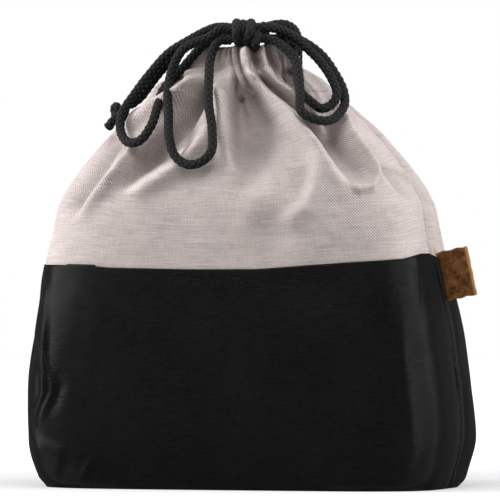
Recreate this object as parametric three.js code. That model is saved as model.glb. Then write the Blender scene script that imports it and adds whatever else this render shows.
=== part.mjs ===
// A drawstring lunch pouch: gathered canvas above, coated cloth below, two drawcords tied in a bow.
// Millimetres, +Z up, the front faces -Y, and the leather tag stands out of the +X side seam.
import * as THREE from 'three';

// Cloth and clearances
const clothThickness = 1.2;
const tapeThickness = 0.8;
const pieceGap = 0.3;

// Coated lower half, from the floor up
const seamHeight = 110;
const heelHeight = 5;
const bellyHeight = 26;
const chestHeight = 72;
const footWidth = 202;
const footDepth = 106;
const heelWidth = 208;
const heelDepth = 109;
const bellyWidth = 216;
const bellyDepth = 114;
const chestWidth = 210;
const chestDepth = 113;
const seamWidth = 197.5;
const seamDepth = 105;

// Canvas upper half, drawn in to the neck
const rimHeight = 219;
const neckWidth = 49;
const neckDepth = 42;
const canvasHeightShares = [0.138, 0.294, 0.431, 0.532, 0.642, 0.752, 0.853, 0.89, 0.917, 1];
const canvasWidthShares = [0.956, 0.909, 0.788, 0.68, 0.525, 0.337, 0.168, 0.067, 0.02, 0];
const canvasDepthShares = [0.99, 0.952, 0.857, 0.746, 0.603, 0.413, 0.222, 0.1, 0.03, 0];
const coatedSquareness = [4, 4.4, 4.8, 4.7, 4.2];
const canvasSquareness = [3.9, 3.6, 3.4, 3, 2.7, 2.4, 2.2, 2.1, 2, 2];

// How far the bag's middle leans to -X, and the share of it at each profile height
const leanReach = 2.8;
const coatedLeanShares = [0, 0, 0, 0.45, 1];
const canvasLeanShares = [1, 1, 1, 1, 0.9, 0.7, 0.4, 0.2, 0.1, 0];

// Gathers that the drawcords pull into the canvas
const foldCount = 18;
const foldDepth = 3;
const foldLength = 69;
const foldFullLength = 14;

// Tunnel round the mouth, with an open slit at each side where a drawcord comes out
const cordDiameter = 5;
const tunnelSlack = 1.2;
const tunnelFootSlack = 0.3;
const tunnelLength = 21;
const tunnelTaper = 8;
const slitLength = 14;
const slitFootHalfWidth = 7;
const slitRimHalfWidth = 10;
const lowerRunDrop = 8.4;
const upperRunDrop = 2.9;

// Bow knot above the front of the rim
const knotX = 1.75;
const knotY = -16;
const knotRise = 7.6;
const knotLength = 14.6;
const knotHeight = 15;
const knotDepth = 22;
const knotLobeShare = 0.5;
const lobeWidthShare = 0.1;
const knotWaistShare = 0.86;
const knotEndShare = 0.8;

// Stopper knots and the cut cord below them
const stopperLength = 9;
const stopperWidth = 10.4;
const stopperEndShare = 0.4;
const cutEndLength = 6;

// Tag in the +X side seam, one strip folded double
const tagHeight = 24.5;
const tagReach = 13;
const tagPly = 1.3;
const tagRoot = 3;
const tagBackset = 6;
const tagDrop = 4.5;

// Seam tapes inside
const tapeWidth = 12;
const sideTapeTopDrop = 29;
const sideTapeFootHeight = 8;
const footTapeHeight = 6;

// Colours and how rough each surface is
const canvasColor = '#cdc3c0';
const coatedColor = '#191919';
const cordColor = '#232325';
const tapeColor = '#8f8785';
const tagColor = '#8c5f3c';
const canvasRoughness = 0.95;
const coatedRoughness = 0.6;
const cordRoughness = 0.85;
const tapeRoughness = 0.9;
const tagRoughness = 0.8;

// Faces
const foldSteps = 4;
const canvasRows = 9;
const slitRows = 4;
const coatedColumns = 28;
const coatedRows = 7;
const heelRows = 2;
const facingColumns = 24;
const facingRows = 8;
const ringTapeRows = 2;
const sideTapeRows = 14;
const sideTapeColumns = 2;
const cordSides = 10;
const cordStep = 8;
const runSteps = 24;
const knotSides = 14;
const knotRings = 10;
const curveSegments = 8;

// Heights that follow from these
const foldFootHeight = rimHeight - foldLength;
const foldFullHeight = rimHeight - foldFullLength;
const tunnelFootHeight = rimHeight - tunnelLength;
const tunnelFullHeight = tunnelFootHeight + tunnelTaper;
const slitFootHeight = rimHeight - slitLength;
const sideTapeTopHeight = rimHeight - sideTapeTopDrop;
const tagMiddleHeight = seamHeight - tagDrop;

const profileHeights = [
  0, heelHeight, bellyHeight, chestHeight, seamHeight,
  ...canvasHeightShares.map((share) => THREE.MathUtils.lerp(seamHeight, rimHeight, share)),
];
const profileHalfWidths = [
  footWidth, heelWidth, bellyWidth, chestWidth, seamWidth,
  ...canvasWidthShares.map((share) => THREE.MathUtils.lerp(neckWidth, seamWidth, share)),
].map((width) => width / 2);
const profileHalfDepths = [
  footDepth, heelDepth, bellyDepth, chestDepth, seamDepth,
  ...canvasDepthShares.map((share) => THREE.MathUtils.lerp(neckDepth, seamDepth, share)),
].map((depth) => depth / 2);
const profileSquareness = [...coatedSquareness, ...canvasSquareness];
const profileMiddles = [...coatedLeanShares, ...canvasLeanShares].map((share) => -share * leanReach);

// A smooth curve through a column of the profile, read at one height.
function readProfile(values, height) {
  const last = profileHeights.length - 1;
  const place = THREE.MathUtils.clamp(height, 0, profileHeights[last]);
  let lower = 0;
  while (lower < last - 1 && place > profileHeights[lower + 1]) lower += 1;
  const slopeAt = (index) => {
    const before = Math.max(index - 1, 0);
    const after = Math.min(index + 1, last);
    return (values[after] - values[before]) / (profileHeights[after] - profileHeights[before]);
  };
  const span = profileHeights[lower + 1] - profileHeights[lower];
  const t = (place - profileHeights[lower]) / span;
  const rise = t * t * (3 - 2 * t);
  const leave = t * (1 - t) * (1 - t) * span * slopeAt(lower);
  const arrive = t * t * (t - 1) * span * slopeAt(lower + 1);
  return values[lower] + rise * (values[lower + 1] - values[lower]) + leave + arrive;
}

// The bag's outline at one height, set in from the outside of the cloth.
function sectionAt(height, inset) {
  return {
    halfWidth: readProfile(profileHalfWidths, height) - inset,
    halfDepth: readProfile(profileHalfDepths, height) - inset,
    squareness: readProfile(profileSquareness, height),
    middle: readProfile(profileMiddles, height),
  };
}

// How far the gathers push the canvas out, at an angle round the bag and a height.
function foldPush(angle, height) {
  const grown = THREE.MathUtils.smoothstep(height, foldFootHeight, foldFullHeight);
  return foldDepth * grown * (1 - Math.cos(foldCount * angle)) / 2;
}

// A point on the outline: angle 0 is at +X and a quarter turn is at the back.
function outlinePoint(angle, height, inset, push) {
  const section = sectionAt(height, inset);
  const across = Math.cos(angle);
  const along = Math.sin(angle);
  const power = 2 / section.squareness;
  const x = Math.sign(across) * section.halfWidth * Math.abs(across) ** power;
  const y = Math.sign(along) * section.halfDepth * Math.abs(along) ** power;
  const grow = 1 + push / Math.hypot(x, y);
  return new THREE.Vector3(section.middle + x * grow, y * grow, height);
}

// The angle at which the outline stands a given distance in front of or behind the side seam.
function angleOffSeam(height, distance) {
  const section = sectionAt(height, 0);
  return Math.asin((distance / section.halfDepth) ** (section.squareness / 2));
}

// Half the gap between the front and back panels: a seam below, an open slit at the tunnel.
function sideGap(height) {
  if (height < slitFootHeight) return pieceGap / 2;
  const opened = (height - slitFootHeight) / (rimHeight - slitFootHeight);
  return THREE.MathUtils.lerp(slitFootHalfWidth, slitRimHalfWidth, opened);
}

// A wall between two surfaces, each given as a point for a column and a row. A closed wall is a ring.
function wallGeometry(outerAt, innerAt, columns, rows, closed) {
  const positions = [];
  const faces = [];
  const across = closed ? columns : columns + 1;
  for (const surface of [outerAt, innerAt]) {
    for (let row = 0; row <= rows; row += 1) {
      for (let column = 0; column < across; column += 1) {
        positions.push(...surface(column, row).toArray());
      }
    }
  }
  const outer = (column, row) => row * across + (column % across);
  const inner = (column, row) => (rows + 1) * across + outer(column, row);
  const quad = (a, b, c, d) => faces.push(a, b, c, a, c, d);
  for (let column = 0; column < columns; column += 1) {
    const next = column + 1;
    for (let row = 0; row < rows; row += 1) {
      quad(outer(column, row), outer(next, row), outer(next, row + 1), outer(column, row + 1));
      quad(inner(next, row), inner(column, row), inner(column, row + 1), inner(next, row + 1));
    }
    quad(outer(column, 0), inner(column, 0), inner(next, 0), outer(next, 0));
    quad(outer(next, rows), inner(next, rows), inner(column, rows), outer(column, rows));
  }
  for (let row = 0; row < rows && !closed; row += 1) {
    quad(inner(0, row), outer(0, row), outer(0, row + 1), inner(0, row + 1));
    quad(outer(columns, row), inner(columns, row), inner(columns, row + 1), outer(columns, row + 1));
  }
  const geometry = new THREE.BufferGeometry();
  geometry.setAttribute('position', new THREE.Float32BufferAttribute(positions, 3));
  geometry.setIndex(faces);
  geometry.computeVertexNormals();
  return geometry;
}

// Half of the bag's wall, from one side seam round to the other. Turn 1 is the front, turn 0 the back.
function panelGeometry(turn, rowHeights, columns, outerInset, thickness, pushAt, gapAt) {
  const surface = (insetAt) => (column, row) => {
    const height = rowHeights[row];
    const start = angleOffSeam(height, gapAt(height));
    const angle = turn * Math.PI + THREE.MathUtils.lerp(start, Math.PI - start, column / columns);
    return outlinePoint(angle, height, insetAt(height), pushAt(angle, height));
  };
  const outerAt = surface(outerInset);
  const innerAt = surface((height) => outerInset(height) + thickness);
  return wallGeometry(outerAt, innerAt, columns, rowHeights.length - 1, false);
}

// Evenly spaced heights, both ends included.
function heightsBetween(foot, top, rows) {
  return Array.from({ length: rows + 1 }, (_, row) => THREE.MathUtils.lerp(foot, top, row / rows));
}

const noPush = () => 0;
const onSurface = () => 0;

// The canvas opens at the slit in one step, so two rows stand close together at the slit's foot.
function canvasGeometry(turn) {
  const foot = seamHeight + pieceGap / 2;
  const below = heightsBetween(foot, slitFootHeight - pieceGap, canvasRows);
  const above = heightsBetween(slitFootHeight, rimHeight, slitRows);
  const columns = foldCount * foldSteps / 2;
  return panelGeometry(turn, [...below, ...above], columns, onSurface, clothThickness, foldPush, sideGap);
}

function coatedGeometry(turn) {
  const heel = heightsBetween(0, heelHeight, heelRows);
  const rest = heightsBetween(heelHeight, seamHeight - pieceGap / 2, coatedRows).slice(1);
  return panelGeometry(turn, [...heel, ...rest], coatedColumns, onSurface, clothThickness, noPush, sideGap);
}

// The tunnel's inner layer: it lies on the canvas at its stitched foot and stands a cord's width off above.
function facingInset(height) {
  const cordRoom = cordDiameter + 2 * pieceGap + tunnelSlack;
  const opened = THREE.MathUtils.smoothstep(height, tunnelFootHeight, tunnelFullHeight);
  return clothThickness + THREE.MathUtils.lerp(pieceGap + tunnelFootSlack, cordRoom, opened);
}

function facingGeometry(turn) {
  const heights = heightsBetween(tunnelFootHeight, rimHeight - pieceGap, facingRows);
  const seamOnly = () => pieceGap / 2;
  return panelGeometry(turn, heights, facingColumns, facingInset, clothThickness, noPush, seamOnly);
}

// A flat base panel that fills the foot of the coated walls.
function baseGeometry() {
  const outline = new THREE.Shape();
  const inset = clothThickness + pieceGap;
  const steps = 2 * coatedColumns;
  for (let step = 0; step < steps; step += 1) {
    const point = outlinePoint(2 * Math.PI * step / steps, 0, inset, 0);
    if (step === 0) outline.moveTo(point.x, point.y);
    else outline.lineTo(point.x, point.y);
  }
  outline.closePath();
  return new THREE.ExtrudeGeometry(outline, { depth: clothThickness, bevelEnabled: false });
}

// A tape that lies on the inside of the cloth, all the way round.
function ringTapeGeometry(foot, top, thickness) {
  const heights = heightsBetween(foot, top, ringTapeRows);
  const inset = clothThickness + pieceGap;
  const columns = 2 * coatedColumns;
  const surface = (depth) => (column, row) => (
    outlinePoint(2 * Math.PI * column / columns, heights[row], inset + depth, 0)
  );
  return wallGeometry(surface(0), surface(thickness), columns, ringTapeRows, true);
}

// A tape that covers one side seam from the inside, clear of the ring tapes that cross it.
function sideTapeGeometry(side) {
  const inset = clothThickness + pieceGap + tapeThickness + pieceGap;
  const heights = heightsBetween(sideTapeFootHeight, sideTapeTopHeight, sideTapeRows);
  const surface = (depth) => (column, row) => {
    const reach = tapeWidth * (column / sideTapeColumns - 1 / 2);
    const edge = angleOffSeam(heights[row], Math.abs(reach)) * Math.sign(reach);
    const angle = side > 0 ? edge : Math.PI + edge;
    return outlinePoint(angle, heights[row], inset + depth, 0);
  };
  return wallGeometry(surface(0), surface(tapeThickness), sideTapeColumns, sideTapeRows, false);
}

// A smooth curve through a route's points.
function routeCurve(points) {
  const places = points.map((point) => new THREE.Vector3(...point));
  return new THREE.CatmullRomCurve3(places, false, 'centripetal');
}

function cordGeometry(points) {
  const circle = new THREE.Shape();
  const radius = cordDiameter / 2;
  for (let side = 0; side < cordSides; side += 1) {
    const angle = 2 * Math.PI * side / cordSides;
    if (side === 0) circle.moveTo(radius, 0);
    else circle.lineTo(radius * Math.cos(angle), radius * Math.sin(angle));
  }
  circle.closePath();
  const curve = routeCurve(points);
  const steps = Math.ceil(curve.getLength() / cordStep);
  return new THREE.ExtrudeGeometry(circle, { steps, extrudePath: curve, bevelEnabled: false });
}

// The turn that a drawcord makes inside the tunnel, from one side of its slit right round to the other.
function runPoints(side, height) {
  const inset = clothThickness + pieceGap + cordDiameter / 2;
  const start = angleOffSeam(height, slitFootHalfWidth);
  const points = [];
  for (let step = 0; step <= runSteps; step += 1) {
    const turned = THREE.MathUtils.lerp(start, 2 * Math.PI - start, step / runSteps);
    const angle = side > 0 ? -turned : Math.PI + turned;
    points.push(outlinePoint(angle, height, inset, 0).toArray());
  }
  return points;
}

// Each drawcord: from the knot down to its slit, round the tunnel, and back up to the knot.
const leftFrontLead = [
  [-6, -13.5, 223], [-8.5, -13.4, 223], [-11.5, -12.6, 223], [-15.5, -10.8, 223],
  [-21, -8.2, 222.8], [-25.2, -5.4, 220], [-26.6, -3.8, 216], [-26, -3.4, 212.8],
  [-23.4, -4.6, 210.8],
];
const leftBackLead = [
  [-23.4, 4.6, 210.8], [-26, 3.2, 212.8], [-26.4, 2.6, 216], [-24.6, 1.6, 220.4],
  [-19.5, -1.4, 224.2], [-13, -5.4, 226.2], [-9, -7.6, 226.4], [-6, -8, 226.4],
];
const rightFrontLead = [
  [9.5, -13.5, 223.2], [12, -13.2, 223.4], [14.8, -11.6, 223.6], [19, -8.6, 223.4],
  [22.4, -5, 221.8], [23.2, -3.6, 219], [21.8, -4.6, 216.6],
];
const rightBackLead = [
  [21.8, 4.4, 216.6], [23, 3.2, 219.2], [21.4, 1.2, 222], [17.4, -2.8, 223.6],
  [13.4, -6.8, 223.6], [11.5, -7.9, 223.2], [9.5, -8, 223],
];

// The bow's free stretches, each a list of points from the knot outwards.
const leftOuterLoop = [
  [-6.1, -19, 229.4], [-9, -19, 229.4], [-13, -19.1, 229.2], [-18.3, -19.5, 227.3],
  [-27, -19.8, 222.8], [-36.9, -20.3, 216.8], [-45.6, -23, 206.9], [-53.3, -27, 195.6],
  [-57.8, -31.8, 186.6], [-57.7, -35.4, 178.3], [-51.4, -42.3, 172], [-44.2, -44.9, 173],
  [-39.3, -43.2, 180], [-38.3, -34.5, 190.5], [-38.4, -27.5, 197], [-35.6, -23.5, 202.5],
  [-31.8, -21.8, 206.5], [-25, -20.4, 214.5], [-18.3, -20, 221.4], [-13, -19.2, 223.6],
  [-9, -19, 223.8], [-6.1, -19, 223.8],
];
const leftInnerLoop = [
  [-5.9, -24.4, 228.8], [-8.5, -24.6, 228.4], [-11, -25.2, 226.8], [-14.2, -25.8, 224.4],
  [-20.8, -26.4, 222], [-27.8, -27, 218], [-32.1, -28.5, 210], [-33.6, -31, 202.5],
  [-33.2, -35, 195], [-31.3, -39.5, 187], [-28.5, -47, 174], [-24.8, -50, 165.5],
  [-18, -51.5, 161], [-11, -51.2, 162], [-6, -49.6, 167.4], [-6.6, -46, 178.5],
  [-9.9, -41, 191], [-11.8, -34.5, 204], [-12.6, -30, 212.5], [-11.2, -27, 219.6],
  [-8.6, -24.9, 223], [-5.9, -24.4, 223.4],
];
const rightOuterLoop = [
  [9.4, -24.4, 223.4], [12.5, -24.5, 223.6], [17.4, -24.8, 223], [23.8, -25.4, 219.5],
  [30.4, -27, 213.5], [33.8, -31, 204], [35.9, -36.4, 195.5], [38, -41, 187.5],
  [43.9, -40.5, 183.5], [50.1, -35.5, 182.5], [53.2, -29.6, 185], [55, -23.2, 191],
  [53, -19, 198], [47.8, -16.5, 206.5], [41.1, -13.5, 214.5], [34.6, -12, 219.5],
  [28.6, -12, 223], [22.9, -12.8, 226.2], [17, -15.8, 229], [12.5, -18.6, 229.6],
  [9.7, -19, 229.6],
];
const rightInnerLoop = [
  [9.7, -19, 223.9], [12.5, -19, 223.8], [17, -19, 222.8], [23, -19.4, 219.3],
  [28.5, -20.8, 213], [31, -24.2, 204.5], [34, -29, 197], [40.4, -32.2, 192],
  [45.3, -31.8, 188.6], [49.7, -28.5, 190.5], [51.9, -26, 195.5], [47.9, -22.5, 204],
  [40.9, -19.4, 212.5], [34.3, -18, 218.5], [29, -17.8, 223], [22.9, -18.8, 226.6],
  [17.2, -21.8, 228.8], [12.5, -24.2, 229.1], [9.4, -24.4, 229.1],
];
const leftTail = [
  [-6.1, -13.5, 228.8], [-9, -13.5, 229], [-13, -13.6, 228.8], [-20, -14, 226.2],
  [-28.2, -14.3, 221.8], [-35, -14.5, 216], [-42.4, -16, 208.2], [-47.8, -19, 200.4],
  [-51.4, -20.8, 195], [-54, -22.6, 192.4], [-57.6, -23.2, 190],
];
const rightTail = [
  [9.6, -8, 229.4], [12, -7.4, 230.2], [15, -5.6, 230.9], [18, -2.4, 230.9],
  [20.6, 2.4, 229], [20.8, 8.4, 225.8], [18.8, 14.8, 224], [17.2, 22.6, 218.8],
  [16, 26.8, 211], [15.3, 31.8, 205], [15, 36.4, 199], [15, 40.6, 193.2],
  [15, 43.8, 188.6],
];
const leftStopperCenter = [-62, -23.4, 187];
const leftCutEndCenter = [-66.8, -22.8, 181.4];
const rightStopperCenter = [15, 47.2, 184.4];
const rightCutEndCenter = [15, 51.2, 177.2];

// A lump of knotted cord, turned about the line that the cord takes through it.
function lumpGeometry(length, width, endShare, waistShare, lobeShare) {
  const profile = [new THREE.Vector2(0, -length / 2)];
  for (let ring = 0; ring <= knotRings; ring += 1) {
    const t = ring / knotRings;
    const crown = endShare + (1 - endShare) * Math.sqrt(Math.sin(Math.PI * t));
    const dip = 1 - (1 - waistShare) * Math.exp(-(((t - lobeShare) / lobeWidthShare) ** 2));
    profile.push(new THREE.Vector2(crown * dip * width / 2, (t - 1 / 2) * length));
  }
  profile.push(new THREE.Vector2(0, length / 2));
  return new THREE.LatheGeometry(profile, knotSides);
}

function matter(color, roughness) {
  return new THREE.MeshStandardMaterial({ color, roughness, metalness: 0 });
}
const canvas = matter(canvasColor, canvasRoughness);
const coated = matter(coatedColor, coatedRoughness);
const cord = matter(cordColor, cordRoughness);
const tape = matter(tapeColor, tapeRoughness);
const leather = matter(tagColor, tagRoughness);

const bag = new THREE.Group();

function add(parent, name, geometry, material) {
  const mesh = new THREE.Mesh(geometry, material);
  mesh.name = name;
  parent.add(mesh);
  return mesh;
}

// Turns a piece made along +Y so that it points from one place to another, and puts it half way.
function aim(mesh, center, towards) {
  const place = new THREE.Vector3(...center);
  const direction = new THREE.Vector3(...towards).sub(place).normalize();
  mesh.position.copy(place);
  mesh.quaternion.setFromUnitVectors(new THREE.Vector3(0, 1, 0), direction);
}

// Cloth walls and base
add(bag, 'canvas_front_panel', canvasGeometry(1), canvas);
add(bag, 'canvas_back_panel', canvasGeometry(0), canvas);
add(bag, 'coated_front_panel', coatedGeometry(1), coated);
add(bag, 'coated_back_panel', coatedGeometry(0), coated);
add(bag, 'base_panel', baseGeometry(), coated);
add(bag, 'tunnel_front_facing', facingGeometry(1), canvas);
add(bag, 'tunnel_back_facing', facingGeometry(0), canvas);

// Tapes that bind the seams inside
const footTapeFoot = clothThickness + pieceGap;
const footTape = ringTapeGeometry(footTapeFoot, footTapeFoot + footTapeHeight, tapeThickness);
const middleTape = ringTapeGeometry(seamHeight - tapeWidth / 2, seamHeight + tapeWidth / 2, tapeThickness);
add(bag, 'base_seam_tape', footTape, tape);
add(bag, 'middle_seam_tape', middleTape, tape);
add(bag, 'left_side_tape', sideTapeGeometry(-1), tape);
add(bag, 'right_side_tape', sideTapeGeometry(1), tape);

// Drawcords, bow knot and the bow's free cords
const leftRoute = [...leftFrontLead, ...runPoints(-1, rimHeight - lowerRunDrop), ...leftBackLead];
const rightRoute = [...rightFrontLead, ...runPoints(1, rimHeight - upperRunDrop), ...rightBackLead];
add(bag, 'left_drawcord', cordGeometry(leftRoute), cord);
add(bag, 'right_drawcord', cordGeometry(rightRoute), cord);
const knotGeometry = lumpGeometry(knotLength, knotHeight, knotEndShare, knotWaistShare, knotLobeShare);
const knot = add(bag, 'bow_knot', knotGeometry, cord);
knot.position.set(knotX, knotY, rimHeight + knotRise);
knot.rotation.z = -Math.PI / 2;
knot.scale.x = knotDepth / knotHeight;
const freeCords = {
  left_outer_loop: leftOuterLoop,
  left_inner_loop: leftInnerLoop,
  right_outer_loop: rightOuterLoop,
  right_inner_loop: rightInnerLoop,
  left_tail: leftTail,
  right_tail: rightTail,
};
for (const [name, points] of Object.entries(freeCords)) add(bag, name, cordGeometry(points), cord);

// A stopper knot and the cut end that hangs out of it, for each tail
function addStopper(side, center, endCenter) {
  const lump = lumpGeometry(stopperLength, stopperWidth, stopperEndShare, 1, knotLobeShare);
  const stopper = add(bag, `${side}_stopper_knot`, lump, cord);
  aim(stopper, center, endCenter);
  const cutEnd = new THREE.CylinderGeometry(cordDiameter / 2, cordDiameter / 2, cutEndLength, cordSides);
  const end = add(bag, `${side}_cut_end`, cutEnd, cord);
  aim(end, center, endCenter);
  const reach = (stopperLength + cutEndLength) / 2 + pieceGap;
  end.translateY(reach);
}
addStopper('left', leftStopperCenter, leftCutEndCenter);
addStopper('right', rightStopperCenter, rightCutEndCenter);

// The tag: a strip folded double. Its two ends are sewn together in a round root that turns at the seam.
const tagHalfThickness = tagPly + pieceGap / 2;
function tagGeometry() {
  const foldStart = tagReach - tagHalfThickness;
  const outline = new THREE.Shape();
  outline.moveTo(0, -tagHalfThickness);
  outline.lineTo(foldStart, -tagHalfThickness);
  outline.absarc(foldStart, 0, tagHalfThickness, -Math.PI / 2, Math.PI / 2, false);
  outline.lineTo(0, tagHalfThickness);
  outline.absarc(0, 0, tagHalfThickness, Math.PI / 2, 3 * Math.PI / 2, false);
  const between = new THREE.Path();
  between.moveTo(tagRoot, -pieceGap / 2);
  between.lineTo(tagRoot, pieceGap / 2);
  between.lineTo(foldStart, pieceGap / 2);
  between.absarc(foldStart, 0, pieceGap / 2, Math.PI / 2, -Math.PI / 2, true);
  between.closePath();
  outline.holes.push(between);
  return new THREE.ExtrudeGeometry(outline, { depth: tagHeight, bevelEnabled: false, curveSegments });
}
const tagTop = sectionAt(tagMiddleHeight + tagHeight / 2, 0);
const tagFoot = sectionAt(tagMiddleHeight - tagHeight / 2, 0);
const tagSeat = new THREE.Group();
const tagMesh = add(tagSeat, 'side_tag', tagGeometry(), leather);
const tagTopX = tagTop.middle + tagTop.halfWidth;
const tagFootX = tagFoot.middle + tagFoot.halfWidth;
const seatX = (tagTopX + tagFootX) / 2 + pieceGap + tagHalfThickness;
tagMesh.position.z = -tagHeight / 2;
tagSeat.rotation.y = Math.atan((tagTopX - tagFootX) / tagHeight);
tagSeat.position.set(seatX, tagBackset, tagMiddleHeight);
bag.add(tagSeat);

export default bag;
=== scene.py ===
import math

import bmesh
import bpy
import numpy as np
from mathutils import Matrix, Vector


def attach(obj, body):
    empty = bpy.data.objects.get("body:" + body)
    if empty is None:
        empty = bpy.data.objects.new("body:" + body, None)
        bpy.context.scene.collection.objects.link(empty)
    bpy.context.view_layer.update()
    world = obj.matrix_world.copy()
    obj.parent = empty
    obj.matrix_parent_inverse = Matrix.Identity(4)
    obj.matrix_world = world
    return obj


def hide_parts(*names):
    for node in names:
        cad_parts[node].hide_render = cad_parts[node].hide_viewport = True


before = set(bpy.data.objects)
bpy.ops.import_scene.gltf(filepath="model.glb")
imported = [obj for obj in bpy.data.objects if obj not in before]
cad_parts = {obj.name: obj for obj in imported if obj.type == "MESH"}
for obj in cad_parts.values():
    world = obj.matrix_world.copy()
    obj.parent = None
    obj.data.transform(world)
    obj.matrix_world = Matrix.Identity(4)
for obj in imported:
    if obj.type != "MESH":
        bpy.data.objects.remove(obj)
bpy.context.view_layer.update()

# Camera
# It stands level with the upper part of the bag, a little to the right of the front, with a long
# lens.
VIEW_TURN = math.radians(17)
VIEW_RISE = math.radians(0.4)
VIEW_DISTANCE = 4.0
FRAME_WIDTH = 0.25
FRAME_MIDDLE = Vector((-0.001 * math.cos(VIEW_TURN), -0.001 * math.sin(VIEW_TURN), 0.1183))
view_right = Vector((math.cos(VIEW_TURN), math.sin(VIEW_TURN), 0))
view_back = Vector((
    math.sin(VIEW_TURN) * math.cos(VIEW_RISE),
    -math.cos(VIEW_TURN) * math.cos(VIEW_RISE),
    math.sin(VIEW_RISE),
))
view_up = view_back.cross(view_right)
lens = bpy.data.cameras.new("camera")
lens.sensor_width = 36
lens.lens = lens.sensor_width * VIEW_DISTANCE / FRAME_WIDTH
lens.clip_end = 20
camera = bpy.data.objects.new("camera", lens)
camera.matrix_world = Matrix((
    (view_right.x, view_up.x, view_back.x, FRAME_MIDDLE.x + view_back.x * VIEW_DISTANCE),
    (view_right.y, view_up.y, view_back.y, FRAME_MIDDLE.y + view_back.y * VIEW_DISTANCE),
    (view_right.z, view_up.z, view_back.z, FRAME_MIDDLE.z + view_back.z * VIEW_DISTANCE),
    (0, 0, 0, 1),
))
bpy.context.collection.objects.link(camera)
bpy.context.scene.camera = camera
bpy.context.scene.view_settings.view_transform = "Standard"


class Value:
    """A shader socket that Python's operators work on."""

    def __init__(self, finish, socket):
        self.finish = finish
        self.socket = socket

    def math(self, operation, *others):
        inputs = dict(enumerate([self, *others]))
        return self.finish.node("ShaderNodeMath", {"operation": operation}, inputs)

    def __add__(self, other):
        return self.math("ADD", other)

    def __sub__(self, other):
        return self.math("SUBTRACT", other)

    def __mul__(self, other):
        return self.math("MULTIPLY", other)

    def __rsub__(self, other):
        return (self * -1) + other

    __radd__ = __add__
    __rmul__ = __mul__


class Finish:
    """The nodes of one material, or of the world."""

    def __init__(self, name, kind=bpy.data.materials, shader="Principled BSDF", **surface):
        self.material = kind.new(name)
        self.material.use_nodes = True
        self.tree = self.material.node_tree
        self.shader = self.tree.nodes[shader]
        self.feed(**surface)

    def feed(self, **surface):
        for name, value in surface.items():
            self.put(self.shader.inputs[name.replace("_", " ")], value)

    def put(self, socket, value):
        if isinstance(value, Value):
            self.tree.links.new(value.socket, socket)
        else:
            socket.default_value = value

    def node(self, kind, settings, inputs, output=0):
        node = self.tree.nodes.new(kind)
        for name, value in settings.items():
            setattr(node, name, value)
        for name, value in inputs.items():
            self.put(node.inputs[name], value)
        return Value(self, node.outputs[output])

    def seen_ray(self):
        """1 on what the camera sees, straight, mirrored or through something, and else 0."""
        straight, mirrored, through = (
            self.node("ShaderNodeLightPath", {}, {}, name)
            for name in ("Is Camera Ray", "Is Glossy Ray", "Is Transmission Ray")
        )
        return straight.math("MAXIMUM", mirrored).math("MAXIMUM", through)

    def own_uv(self):
        return self.node("ShaderNodeTexCoord", {}, {}, "UV")

    def own_place(self):
        return self.node("ShaderNodeTexCoord", {}, {}, "Object")

    def axis(self, vector, name):
        return self.node("ShaderNodeSeparateXYZ", {}, {"Vector": vector}, name)

    def own_value(self, name):
        """A value that the mesh's points carry."""
        return self.node("ShaderNodeAttribute", {"attribute_name": name}, {}, "Fac")

    def cloud(self, vector, scale, detail=2.0, roughness=0.5):
        inputs = {"Vector": vector, "Scale": scale, "Detail": detail, "Roughness": roughness}
        return self.node("ShaderNodeTexNoise", {}, inputs, 0)

    def streaks(self, vector, across, along, detail=2.0, roughness=0.5):
        """A cloud that is drawn out, from its scale across and along the cloth."""
        inputs = {"Vector": vector, "Scale": (across, along, 1)}
        return self.cloud(self.node("ShaderNodeMapping", {}, inputs), 1, detail, roughness)

    def spots(self, vector, scale):
        return self.node("ShaderNodeTexVoronoi", {}, {"Vector": vector, "Scale": scale}, 0)

    def step(self, value, low, high, to_low=0.0, to_high=1.0):
        inputs = {0: value, 1: low, 2: high, 3: to_low, 4: to_high}
        return self.node("ShaderNodeMapRange", {"interpolation_type": "SMOOTHSTEP"}, inputs)

    def blend_colors(self, share, first, second):
        settings = {"data_type": "RGBA"}
        return self.node("ShaderNodeMix", settings, {0: share, 6: first, 7: second}, 2)

    def relief(self, height, distance, strength):
        inputs = {"Height": height, "Distance": distance, "Strength": strength}
        return self.node("ShaderNodeBump", {}, inputs)


# Cords
# Braided black cord, 5 mm thick. Two drawcords run through the tunnel round the mouth and are tied
# over its front in a bow, whose loops and tails hang down. A knot stops each tail.
CORD_THICKNESS = 0.005
BRAID_CELLS = 5
BRAID_PITCH = 0.0032
BRAID_RELIEF = 0.0009
STRAND_ROUNDNESS = 1.92
STRAND_DIP = 1.5
CORD_SIDES = 45
RING_SPACING = 0.0004
STEPS_BETWEEN_POINTS = 24
PLUMP = 0.98
ROUNDED_END_SHARE = 0.3
TUBE_SEAM_GAP = 0.000002
MM = 0.001


def unit(vector):
    return vector / np.linalg.norm(vector)


def run_along(line):
    """How far along a line each of its points lies."""
    return np.concatenate([[0], np.cumsum(np.linalg.norm(np.diff(line, axis=0), axis=1))])


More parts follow.
